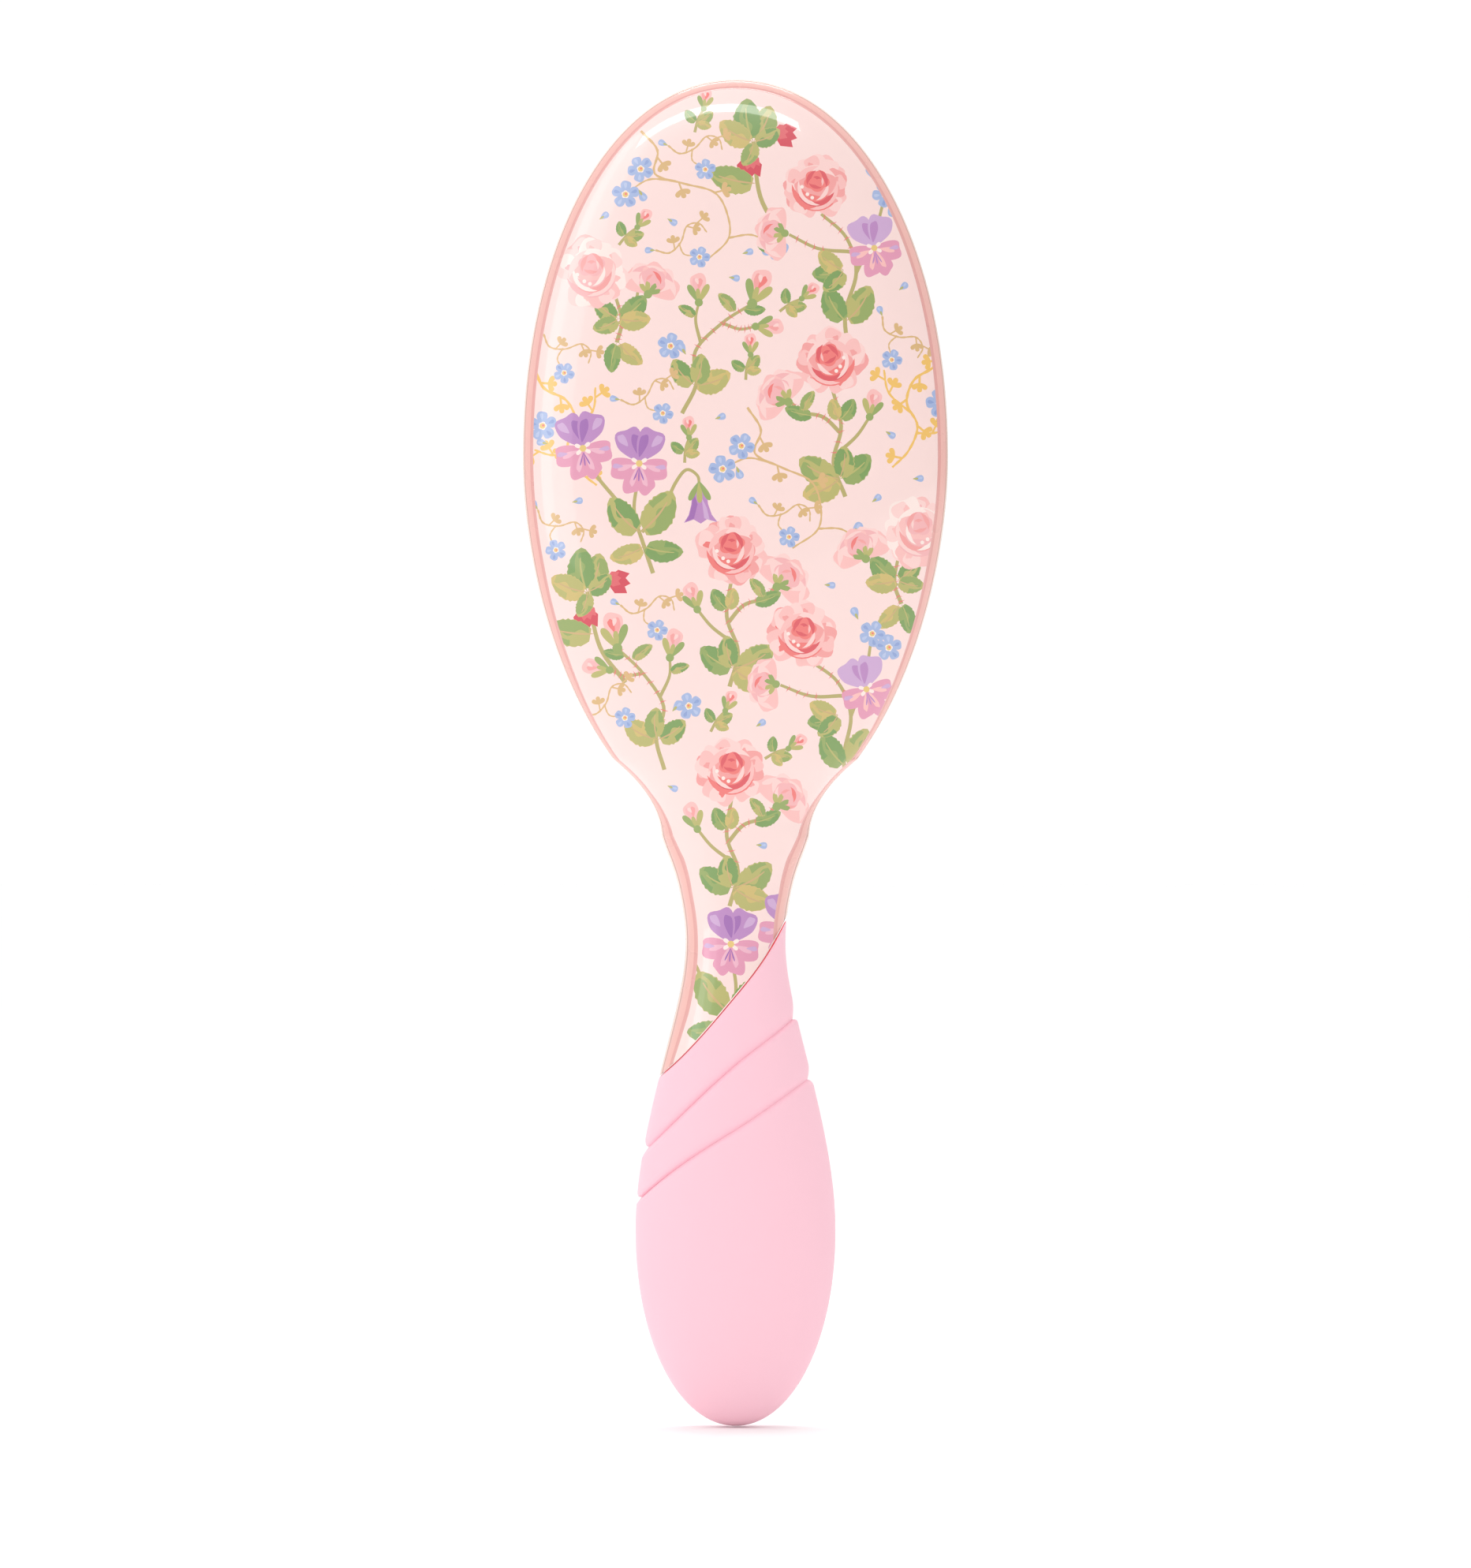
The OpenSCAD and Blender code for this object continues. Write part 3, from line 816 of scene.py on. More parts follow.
def spline(points):
    """A smooth line through the points."""
    p = np.concatenate([[2 * points[0] - points[1]], points, [2 * points[-1] - points[-2]]])
    t = np.linspace(0, 1, SPLINE_STEPS, endpoint=False)
    parts = []
    for a, b, c, d in zip(p, p[1:], p[2:], p[3:]):
        parts.append(0.5 * (2 * b + (c - a) * t + (2 * a - 5 * b + 4 * c - d) * t ** 2
                            + (3 * b - a - 3 * c + d) * t ** 3))
    return np.concatenate([*parts, [points[-1]]])


def stroke(pen, points, width, tint, end_width=None, knobs=0.0):
    """A brush stroke along a smooth line, cut into short pieces so that curls may cross themselves."""
    line = spline(np.asarray(points, complex))
    widths = np.linspace(width, width if end_width is None else end_width, len(line)) / 2
    if knobs:
        widths = widths * (1 + knobs * np.sin(np.arange(len(line)) * 2.1))
    side = np.gradient(line)
    side = 1j * side / np.abs(side)
    left, right = line + side * widths, line - side * widths
    for start in range(0, len(line) - 1, STROKE_CHUNK):
        stop = min(start + STROKE_CHUNK, len(line) - 1) + 1
        pen.fill(np.concatenate([left[start:stop], right[start:stop][::-1]]), tint)
    return line


def thorns(pen, line):
    """Fine hairs that stand out on both sides of a stem."""
    for i in range(1, len(line) - 1, 2):
        along = line[i + 1] - line[i - 1]
        along /= abs(along)
        for side in (1j, -1j):
            root = line[i] + along * pen.vary(0.15)
            tip = root + along * side * turned(pen.vary(0.6)) * THORN_LENGTH
            pen.fill([root - along * THORN_FOOT, tip, root + along * THORN_FOOT], "thorn")


ROSE_TONES = {
    "coral": ("blush", "petal", "petal_mid", "coral", "deep"),
    "pink": ("blush", "petal", "petal_soft", "petal_mid", "coral"),
    "pale": ("cream", "blush", "petal", "petal_soft", "petal_mid"),
}


def rose(pen, tones="coral"):
    """A full rose of radius 1: skirt petals, a bowl of nested folds and a dark heart above the middle."""
    pale, light, middle, strong, deep = ROSE_TONES[tones]
    start = pen.vary(1)
    for k, tint in enumerate((light, middle, light, pale, light, middle, pale)):
        outer = pen.at(0, start + 2.4 * k + pen.vary(0.15), 0.98 + pen.vary(0.07))
        outer.fill(petal(1.05, 0.06, 5, 36, pen.vary(3)), tint)
        outer.at(0.42, pen.vary(0.2)).fill(0.56 * petal(0.95, 0.05, 4), pale if tint == light else light)
        outer.at(0.3, 0.25).fill(0.5 * petal(0.4, 0.05), strong if k % 3 == 1 else middle)
    pen.at(0.02 - 0.05j).fill(0.68 * lobed(7, 0.12, 56, pen.vary(1), 0.95), middle)
    folds = [(0.7, 0.28, 1.3, strong, -1.9), (0.66, 0.22, 1.1, light, -0.8), (0.56, 0.26, 1.2, deep, -1.35),
             (0.53, 0.17, 1.1, pale, -2.6), (0.67, 0.2, 0.9, pale, 1.2), (0.64, 0.22, 0.8, light, 2.4),
             (0.42, 0.2, 1.3, strong, -1.7), (0.38, 0.12, 1, pale, -0.6)]
    for radius, thick, span, tint, angle in folds:
        pen.at(0, angle + pen.vary(0.2)).fill(crescent(radius, thick, span), tint)
    heart = pen.at(0.03 + 0.2j)
    heart.fill(0.39 * lobed(5, 0.2, 40, pen.vary(1), 0.85), strong)
    for radius, thick, angle in [(0.33, 0.13, 0.4), (0.3, 0.13, 2.6), (0.24, 0.11, 4.4), (0.14, 0.1, 1.4)]:
        heart.at(0, angle).fill(crescent(radius, thick, 1.0), deep)
    heart.at(0.04 - 0.02j).fill(crescent(0.17, 0.07, 0.9), light)
    for spot in (-0.24 - 0.2j, -0.1 - 0.3j, -0.4 + 0.02j):
        pen.at(spot).fill(0.055 * lobed(1, 0, 10), "cream")


def side_rose(pen):
    """A rose seen from the side, radius 1, opening upwards with its calyx below."""
    pale, light, middle, strong, deep = ROSE_TONES["pink"]
    for angle, tint in [(2.7, light), (0.45, light), (2.1, pale), (1.05, pale), (1.55, light)]:
        outer = pen.at(0, angle + pen.vary(0.08), 1.0)
        outer.fill(petal(0.85, 0.05, 5, phase=pen.vary(2)), tint)
        outer.at(0.3, 0, 0.6).fill(crescent(1.0, 0.3, 0.55), pale if tint == light else middle)
    pen.at(0.42j).fill(0.46 * lobed(6, 0.12, 44, pen.vary(1), 0.9), middle)
    for radius, thick, span, tint, angle in [(0.44, 0.16, 1.0, strong, -1.2), (0.4, 0.14, 1.0, pale, -2.4),
                                             (0.3, 0.13, 1.0, deep, 0.9), (0.2, 0.1, 1.0, strong, 2.6)]:
        pen.at(0.42j, angle + pen.vary(0.2)).fill(crescent(radius, thick, span), tint)
    for angle in (2.5, 1.9, 1.2, 0.6):
        pen.at(-0.05j, angle, 0.42).fill(petal(0.42), "leaf_olive" if angle > 1.5 else "leaf_green")
    pen.at(-0.05j).fill(0.14 * lobed(1, 0, 14), "leaf_green")


def rosebud(pen, tones="pink"):
    """A bud of length 1 on +x, held by sepals."""
    pale, light, middle, strong, _ = ROSE_TONES[tones]
    pen.at(0.15).fill(0.85 * petal(0.72, 0.03, 4), light)
    pen.at(0.3, 0.2).fill(0.55 * petal(0.5), middle)
    pen.at(0.45, -0.25).fill(0.38 * petal(0.5), strong)
    pen.at(0.62, 0.35).fill(0.22 * petal(0.6), pale)
    sepals = [(0.5, 0.72, "leaf_green"), (-0.5, 0.72, "leaf_olive"), (0.05, 0.5, "leaf_olive")]
    for angle, length, tint in sepals:
        pen.at(-0.02, angle).fill(length * petal(0.34, 0), tint)
    pen.fill(0.14 * lobed(1, 0, 14), "leaf_green")


def violet(pen, tones=("violet", "violet_dark", "orchid", "orchid_light")):
    """A violet of radius 1: two upright petals, two side petals and a notched lip."""
    upper, shade, lower, light = tones
    for angle, mirror in ((2.05, False), (1.08, True)):
        wing = pen.at(0.06j, angle, 1.04, mirror)
        wing.fill(petal(0.86, 0.05, 5, 34, 1), upper)
        wing.at(0.1 - 0.06j, -0.22).fill(0.66 * petal(0.42, 0.03), shade)
        wing.at(0.52 + 0.1j, 0.25).fill(0.4 * petal(0.6, 0.04), "lilac")
    for angle, mirror in ((-2.85, False), (-0.3, True)):
        wing = pen.at(0, angle, 0.86, mirror)
        wing.fill(petal(0.84, 0.05, 5, 34), lower)
        wing.at(0.2).fill(0.55 * petal(0.4), light)
        wing.at(0.55 - 0.05j, -0.3).fill(0.36 * petal(0.5), "lilac")
    for angle in (-1.87, -1.27):
        lip = pen.at(0.05j, angle, 0.98)
        lip.fill(petal(0.6, 0.05, 4, 34), lower)
        lip.at(0.16).fill(0.6 * petal(0.3), light)
    for angle in (-1.57, -1.95, -1.2):
        pen.at(-0.12j, angle).fill(0.4 * petal(0.12, 0), shade)
    for angle in (2.6, 0.55, -2.5, -0.65):
        pen.at(0, angle).fill(0.26 * petal(0.5, 0), "cream")
    pen.fill(0.1 * lobed(1, 0, 12), "yellow")


def bellflower(pen):
    """A hanging bell of length 1 on +x, with a flared mouth and a green calyx."""
    bell = [0, 0.1 + 0.2j, 0.5 + 0.24j, 0.8 + 0.34j, 1.02 + 0.5j, 0.93 + 0.2j, 1.05 + 0.02j,
            0.93 - 0.18j, 1.02 - 0.46j, 0.8 - 0.32j, 0.5 - 0.24j, 0.1 - 0.2j]
    pen.fill(bell, "violet")
    pen.fill([0.1 - 0.18j, 0.5 - 0.22j, 0.8 - 0.3j, 1.0 - 0.42j, 0.9 - 0.17j, 0.5 - 0.06j], "violet_dark")
    pen.fill([0.3 + 0.06j, 0.9 + 0.12j, 0.96 + 0.28j, 0.6 + 0.2j], "lilac")
    for angle in (-0.5, 0, 0.5):
        pen.at(-0.16, angle).fill(0.62 * petal(0.3, 0), "leaf_green" if angle else "leaf_olive")


def forget_me_not(pen):
    """Five round blue petals about a yellow eye, radius 1."""
    start = pen.vary(0.6)
    for k in range(5):
        leaf_pen = pen.at(0, start + 2 * math.pi * k / 5)
        leaf_pen.fill(petal(0.86, 0.02), "blue")
        leaf_pen.at(0.42, 0.1).fill(0.45 * petal(0.6, 0), "blue_light" if k % 2 else "blue_dark")
    pen.fill(0.3 * lobed(5, 0.2, 20), "cream")
    pen.fill(0.2 * lobed(1, 0, 12), "yellow")
    pen.at(0.04 + 0.03j).fill(0.09 * lobed(1, 0, 8), "coral")


def blue_bud(pen):
    pen.at(0.1).fill(0.9 * petal(0.75, 0), "blue")
    pen.at(0.45, 0.15).fill(0.45 * petal(0.5, 0), "blue_light")
    pen.fill(0.5 * petal(0.45, 0), "leaf_olive")


def leaf(pen, width, tones, bend=0.25):
    """A broad leaf of length 1 on +x: a pale blade, a shaded half with a torn edge, and a midrib."""
    blade, shade, line = tones
    along = np.linspace(0, 1, 19)
    curl = np.exp(1j * bend * along)
    spread = width / 2 * np.sin(np.pi * along ** 0.95) ** 0.62
    teeth = 1 + 0.06 * np.cos(np.arange(19) * 2.6 + pen.vary(1)) * (along > 0.25)

    def band(low, high, first, last):
        part = slice(first, last)
        edges = [(along + 1j * spread * side) * curl for side in (low, high)]
        return np.concatenate([edges[0][part], edges[1][part][::-1]])

    pen.fill(band(-teeth, teeth, 1, 19)[:-1], blade)
    ragged = 0.1 + 0.3 * np.sin(along * 11 + pen.vary(2))
    pen.fill(band(-0.96 * teeth, ragged - 0.15, 2, 17), shade)
    pen.fill(band(0.45 + 0.2 * ragged, 0.92 * teeth, 9, 17), shade)
    pen.fill(band(-0.07 * (1 - along) - 0.03, 0.07 * (1 - along) + 0.03, 0, 15)[1:], line)


GREENS = [
    ("leaf_olive", "leaf_green", "leaf_edge"),
    ("leaf_green", "leaf_dark", "leaf_olive"),
    ("leaf_sand", "leaf_olive", "leaf_edge"),
    ("leaf_olive", "leaf_dark", "leaf_edge"),
]


def leaves(pen, *rows):
    """Single leaves. Each row is where one grows, its turn, its size, its width and its greens."""
    for point, angle, size, width, greens, *bend in rows:
        leaf(pen.at(point, angle, size), width, GREENS[greens], *bend)


def leaf_spray(pen, sizes, angles, start=0):
    """Leaves that spread from one point."""
    for i, (size, angle) in enumerate(zip(sizes, angles)):
        leaf(pen.at(0, angle + pen.vary(0.08), size), 0.64, GREENS[(i + start) % len(GREENS)],
             0.3 if math.cos(angle) > 0 else -0.3)


def trefoil(pen, tint):
    """A small three-lobed leaf of radius 1."""
    for angle in (-0.9, 0, 0.9):
        pen.at(0, angle).fill(petal(0.62, 0), tint)


def vine(pen, points, tint, leaves, width=0.34):
    """A wandering vine. leaves gives how far along each trefoil stands, and on which side."""
    line = stroke(pen, points, width, tint, width * 0.75, knobs=0.22)
    for share, side in leaves:
        i = int(share * (len(line) - 2))
        along = line[i + 1] - line[i]
        along /= abs(along)
        out = along * turned(side * 0.95)
        stem_end = line[i] + out * 1.1
        stroke(pen, [line[i], line[i] + out * 0.6, stem_end], width * 0.8, tint)
        trefoil(pen.at(stem_end, math.atan2(out.imag, out.real), 1.35), tint)
    return line


# ---- Print: sprays put together from the flowers, with sizes in millimetres ----

def rose_spray(pen):
    """A tall stem with a full rose, a rose seen from the side, a bud and three groups of leaves."""
    main = stroke(pen, [0, 1.2 + 5j, -0.4 + 10j, 0.3 + 15.5j], 0.62, "stem", 0.5)
    side = stroke(pen, [-0.3 + 9j, 2 + 11.6j, 5 + 12.6j, 6.4 + 14.2j], 0.6, "stem", 0.45)
    stroke(pen, [0.9 + 6j, -2.4 + 8.4j, -4.6 + 11j], 0.55, "stem", 0.4)
    thorns(pen, main[8:])
    thorns(pen, side[4:])
    leaf_spray(pen.at(0.6 + 2.6j), [6.4, 5.6, 5.8, 4.8], [0.2, 2.9, -0.7, 2.1])
    leaf_spray(pen.at(-0.3 + 11j), [3.6, 3.2], [2.5, 1.0], 1)
    leaves(pen, (3.4 + 12j, 0.1, 4.2, 0.5, 1), (4.8 + 12.6j, 1.9, 3.4, 0.5, 0))
    side_rose(pen.at(6.9 + 14.4j, -0.75, 4.5))
    rosebud(pen.at(-4.6 + 11j, 1.9, 4.0), "pink")
    rose(pen.at(0.2 + 19.4j, pen.vary(0.3), 5))


def twin_roses(pen):
    """Two pale roses side by side over a bunch of dark leaves."""
    stem = stroke(pen, [0, 1 + 3j, 0.4 + 7j], 0.6, "stem", 0.45)
    thorns(pen, stem)
    stroke(pen, [0.6 + 2.6j, 3 + 5j, 3.8 + 7.2j], 0.55, "stem", 0.4)
    leaf_spray(pen.at(0.6 + 3.4j), [5.0, 4.6, 4.4, 4.0], [0.35, -0.35, 2.7, -2.6], 1)
    leaves(pen, (0.3, -1.1, 4.6, 0.56, 2), (0, -2.1, 4.4, 0.56, 1))
    side_rose(pen.at(5.2 + 6.6j, -0.4, 4.4))
    rose(pen.at(-2.6 + 10.4j, 0.2 + pen.vary(0.2), 5.2), "pale")


def bud_branch(pen):
    """A slanting hairy branch with three buds, small leaves and a blue flower at its fork."""
    main = stroke(pen, [0, 1.6 + 4.4j, 1 + 9j, 4.4 + 13.4j, 8.4 + 16.6j], 0.6, "stem", 0.42)
    fork = stroke(pen, [4.4 + 13.4j, 7 + 12.8j, 9.2 + 13.4j], 0.5, "stem", 0.35)
    rise = stroke(pen, [1.6 + 10.4j, 0.6 + 13.4j, 0.8 + 16j], 0.5, "stem", 0.35)
    thorns(pen, main[10:])
    thorns(pen, fork)
    leaf_spray(pen.at(1.4 + 4.2j), [5.4, 4.8, 4.6], [0.15, 2.7, 1.2], 2)
    leaves(pen, (6 + 15j, 2.1, 3.6, 0.5, 0), (7.2 + 15.8j, -0.2, 3.2, 0.5, 1),
           (rise[8], 2.4, 3, 0.5, 3))
    rosebud(pen.at(8.4 + 16.6j, 1.3, 5.2), "coral")
    rosebud(pen.at(9.2 + 13.4j, 0.1, 4.0), "pink")
    rosebud(pen.at(0.8 + 16j, 1.7, 4.2), "pink")
    forget_me_not(pen.at(-2.6 + 9.4j, 0, 1.9))
    blue_bud(pen.at(-0.3 + 8.4j, 2.2, 1.9))


def violet_spray(pen):
    """Two violets and a bellflower on bowed stems that rise from broad leaves."""
    stroke(pen, [1.2 - 6j, 0.3 - 2j, -0.6 + 3j, 0.4 + 7.6j], 0.62, "stem", 0.45)
    stroke(pen, [-0.4 + 1j, -3 + 5j, -5.4 + 8.6j, -6.6 + 11.6j], 0.6, "stem", 0.45)
    hook = stroke(pen, [0.2, 3.4 + 2.8j, 5.6 + 6.4j, 7.4 + 8.2j, 8.9 + 7.2j, 9 + 5.6j], 0.55, "stem", 0.4)
    bellflower(pen.at(hook[-1], -1.65, 5))
    leaves(pen, (0, 0.55, 7.4, 0.62, 0), (0, 2.5, 6.6, 0.62, 3, -0.3), (0.2 - 2j, -0.5, 5.8, 0.56, 1),
           (0.3 - 2j, -2.6, 5.2, 0.56, 2, -0.3))
    violet(pen.at(-7 + 12.8j, 0.15 + pen.vary(0.15), 4.9))
    violet(pen.at(0.8 + 9.8j, -0.12 + pen.vary(0.15), 4.9))


def blue_vine(pen):
    """A thin tan vine that wanders down with forget-me-nots at the ends of its twigs."""
    vine(pen, [0, 1.6 - 3.4j, 0.4 - 6.6j, 4 - 9j, 8 - 11.4j, 9 - 15j, 8.2 - 18.4j, 4.4 - 20.6j],
         "tan", [(0.2, 1), (0.42, -1), (0.6, 1)])
    vine(pen, [8.3 - 18.2j, 11.6 - 18.6j, 14 - 20.6j], "tan", [], 0.3)
    vine(pen, [3 - 8.4j, -0.6 - 7.2j, -4 - 8.2j], "tan", [], 0.3)
    forget_me_not(pen.at(-4.4 - 8.4j, 0, 2.0))
    forget_me_not(pen.at(-1.4 - 5.4j, 0, 1.9))
    blue_bud(pen.at(-2.4 - 8.2j, -1.3, 1.9))
    forget_me_not(pen.at(14.4 - 21j, 0, 2.0))
    blue_bud(pen.at(13 - 19.4j, 0.7, 2.1))
    leaves(pen, (12.4 - 19.4j, -1.4, 2.6, 0.5, 3))


def gold_vine(pen):
    """A bright gold vine with pairs of tiny leaves and loose blue flowers."""
    vine(pen, [0, 1.4 - 3j, 4.6 - 4.8j, 6 - 8j, 4.8 - 11.4j, 6.4 - 14.8j, 9 - 17j], "gold",
         [(0.14, 1), (0.3, -1), (0.5, 1), (0.7, -1), (0.95, 1)], 0.42)
    vine(pen, [5.6 - 9.4j, 8.4 - 6.4j, 8.8 - 3j], "gold", [(0.55, 1), (0.9, -1)], 0.36)
    vine(pen, [5.2 - 12.4j, 2.4 - 12.6j, 0 - 11.8j], "gold", [(0.5, -1), (0.95, 1)], 0.36)
    forget_me_not(pen.at(1.2 - 8.4j, 0, 2.1))
    blue_bud(pen.at(2 - 11j, 2.9, 1.7))


def strawberry_tuft(pen):
    """Broad leaves over ragged red flowers that hang from them, on a thick stem."""
    stroke(pen, [1.4 - 14j, -0.6 - 8j, 0], 0.68, "stem", 0.55)
    red = [0, 0.5 + 0.5j, 1 + 0.42j, 0.86 + 0.2j, 1.1, 0.88 - 0.16j, 1.02 - 0.42j, 0.5 - 0.5j]
    for point, angle, size in ((-0.9 - 1.4j, -1.75, 3.6), (2.9 + 0.9j, -0.45, 3.4)):
        pen.at(point, angle, size).fill(red, "red")
        pen.at(point, angle + 0.25, size * 0.8).fill(np.array(red) * 0.8, "red_light")
    leaves(pen, (-0.8 - 6j, 2.9, 7, 0.56, 0, -0.2))
    leaf_spray(pen, [5.8, 6.4, 5.6, 4.2, 3.8], [0.7, 1.75, 2.7, 0, -1.9], 0)


def hedge_bloom(pen):
    """A rose, a pale bud and a violet that share one long bowed stem, with blue flowers on top."""
    main = stroke(pen, [1 - 13j, 0.4 - 7j, 2 - 1j, 0.6 + 4j, -3 + 7.4j], 0.62, "stem", 0.45)
    thorns(pen, main[16:])
    arm = stroke(pen, [1.2 + 2j, -3.4 + 2.4j, -7.6 + 4.4j], 0.55, "stem", 0.4)
    thorns(pen, arm[5:])
    stroke(pen, [2 - 1j, 4.6 + 4.6j, 6 + 9.6j], 0.55, "stem", 0.4)
    leaf_spray(pen.at(0.5 - 8j), [6.2, 5.6], [0.6, 2.4], 0)
    leaf_spray(pen.at(0.2 - 0.6j), [4.6, 4.4, 4.2], [-2.7, 2.9, -2.1], 1)
    side_rose(pen.at(-8.4 + 4.6j, 1.5, 4.0))
    rose(pen.at(-3.8 + 11.2j, pen.vary(0.4), 4.9))
    violet(pen.at(4.6 + 2.6j, 0.2, 4.5), ("lilac", "violet", "orchid", "petal"))
    forget_me_not(pen.at(6.2 + 10.4j, 0, 1.9))
    forget_me_not(pen.at(8.4 + 8.2j, 0, 1.9))
    blue_bud(pen.at(4.4 + 12.6j, 1.9, 1.9))


def tendril(pen):
    """A short curling vine with three trefoils and a blue flower."""
    vine(pen, [-4.4 + 1j, -2.6 - 0.6j, 0, 2.2 + 1.8j, 4.2 + 1.2j, 4.6 - 0.8j], "tan",
         [(0.3, 1), (0.62, -1), (0.8, 1)], 0.32)
    vine(pen, [-0.4, -0.6 - 2j, 0.8 - 3.2j], "tan", [], 0.28)
    forget_me_not(pen.at(1.4 - 3.8j, 0, 1.8))
    blue_bud(pen.at(-4.4 + 1j, 2.6, 1.8))


def sprig(pen):
    """A rosebud over three small leaves."""
    stroke(pen, [-1.2 - 3.2j, -0.6 - 1j, 0.4 + 0.8j], 0.5, "stem", 0.38)
    leaf_spray(pen.at(-0.8 - 1.4j), [3.2, 2.8, 2.6], [0.3, 2.7, -0.6])
    rosebud(pen.at(0.4 + 0.8j, 1.4, 3.6), "coral")


# Each spray: [how it is drawn, where its foot stands, its turn, whether it is mirrored]
SPRAYS = [
    [strawberry_tuft, 3 + 184j, 0.2, False],
    [blue_vine, -16 + 186j, 0.25, False],
    [hedge_bloom, 18 + 163j, 0.0, False],
    [twin_roses, -20 + 150j, 0.1, False],
    [bud_branch, -9 + 138j, -0.1, False],
    [gold_vine, -34 + 146j, 0.0, False],
    [rose_spray, 18.5 + 124j, 0.1, True],
    [gold_vine, 35 + 150j, 0.1, True],
    [violet_spray, -16 + 118j, 0.1, False],
    [blue_vine, 2 + 139j, 0.1, False],
    [rose_spray, -1 + 92j, 0.0, False],
    [twin_roses, 28 + 106j, 0.0, True],
    [strawberry_tuft, -25 + 108j, 0.3, False],
    [hedge_bloom, 17 + 88j, 0.1, False],
    [bud_branch, -12 + 78j, -0.1, True],
    [rose_spray, -1 + 55j, 0.0, False],
    [violet_spray, -1 + 37j, -0.1, True],
]
SPRAY_SCALE = 1.18
FILLERS = [[tendril, 4.1, 1], [sprig, 3.3, 1], [forget_me_not, 3.4, 1.9], [blue_bud, 2.6, 1.9]]
FILLER_STEP = 2.3


def flowers():
    """All filled outlines of the print, later ones on top. Small flowers fill the bare places."""
    shapes = []
    for seed, (draw, foot, turn, mirror) in enumerate(SPRAYS):
        pen = Pen(shapes, np.random.default_rng(seed), foot, turned(turn))
        draw(pen.at(0, math.pi if mirror else 0, SPRAY_SCALE, mirror))
    chance = np.random.default_rng(len(SPRAYS))
    spots = mesh_points(edge_loop(1, 2, 2), FILLER_STEP)
    drawn = np.concatenate([outline for outline, _ in shapes])
    for draw, gap, size in FILLERS:
        for spot in spots:
            if np.abs(drawn - spot).min() > gap:
                draw(Pen(shapes, chance).at(spot, chance.uniform(-0.8, 0.8), size))
                drawn = np.concatenate([outline for outline, _ in shapes])
    return shapes


# ---- Materials ----

PRINT_COLOURS = {
    "ground": (252, 222, 217),
    "cream": (254, 232, 225),
    "blush": (253, 211, 206),
    "petal": (251, 191, 187),
    "petal_soft": (246, 180, 181),
    "petal_mid": (245, 161, 158),
    "coral": (241, 120, 116),
    "deep": (224, 84, 92),
    "thorn": (228, 112, 108),
    "red": (214, 62, 80),
    "red_light": (226, 98, 104),
    "violet": (188, 134, 192),
    "violet_dark": (160, 102, 176),
    "lilac": (207, 168, 210),
    "orchid": (229, 152, 180),
    "orchid_light": (240, 182, 200),
    "blue": (164, 182, 222),
    "blue_light": (186, 198, 230),
    "blue_dark": (142, 162, 212),
    "yellow": (232, 198, 118),
    "leaf_sand": (208, 184, 110),
    "leaf_olive": (185, 179, 104),
    "leaf_green": (148, 167, 92),
    "leaf_dark": (122, 157, 84),
    "leaf_edge": (204, 170, 116),
    "stem": (184, 170, 104),
    "tan": (220, 180, 122),
    "gold": (243, 193, 98),
}
PINK = (241, 186, 177)
# Darker pink of painted shade for the rim's band beside the print
PINK_PAINTED_SHADE = (230, 166, 160)
# Grey pink of painted shade for the faces of the rim's fine groove
PINK_GROOVE_PAINTED_SHADE = (212, 168, 158)
# Pale pink of painted reflection along the rim's outer edge
PINK_EDGE_PAINTED_REFLECTION = (248, 218, 203)
GRIP_PINK = (254, 203, 216)
# Deep red for the collar gap: a darker colour as painted shade for the gap's line, also used as a painted
# glow
GAP_PAINTED_SHADE_AND_GLOW = (236, 60, 74)
RUBBER_PINK = (238, 150, 176)
NYLON = (252, 226, 232)
WEAR_SCALE = 60


def linear(colour):
    """Scene-linear red, green, blue and alpha from screen values."""
    parts = [c / 255 for c in colour]
    return [p / 12.92 if p <= 0.04045 else ((p + 0.055) / 1.055) ** 2.4 for p in parts] + [1]


def noise(nodes, links, place, scale, detail):
    """The value of a noise in the object's own coordinates."""
    node = nodes.new("ShaderNodeTexNoise")
    node.inputs["Scale"].default_value = scale
    node.inputs["Detail"].default_value = detail
    links.new(place.outputs["Object"], node.inputs["Vector"])
    return node.outputs["Fac"]


def surface(name, colour, roughness, bump_scale, bump_height, shine=None, **settings):
    """A material with unevenness of its own in gloss and height.

    bump_scale is in waves a metre and bump_height in metres. shine is how far the roughness wanders."""
    material = bpy.data.materials.new(name)
    material.use_nodes = True
    nodes, links = material.node_tree.nodes, material.node_tree.links
    shader = nodes["Principled BSDF"]
    shader.inputs["Base Color"].default_value = linear(colour)
    for key, value in settings.items():
        shader.inputs[key.replace("_", " ")].default_value = value
    place = nodes.new("ShaderNodeTexCoord")
    bump = nodes.new("ShaderNodeBump")
    bump.inputs["Distance"].default_value = bump_height
    links.new(noise(nodes, links, place, bump_scale, 3), bump.inputs["Height"])
    links.new(bump.outputs["Normal"], shader.inputs["Normal"])
    spread = nodes.new("ShaderNodeMapRange")
    wander = roughness * 0.3 if shine is None else shine
    limits = {"From Min": 0.3, "From Max": 0.7, "To Min": roughness - wander, "To Max": roughness + wander}
    for key, value in limits.items():
        spread.inputs[key].default_value = value
    links.new(noise(nodes, links, place, WEAR_SCALE, 5), spread.inputs["Value"])
    links.new(spread.outputs["Result"], shader.inputs["Roughness"])
    return material


def lacquer(name, colour):
    return surface(name, colour, 0.35, 900, 2e-6, 0.03, Coat_Weight=1.0, Coat_Roughness=0.04)


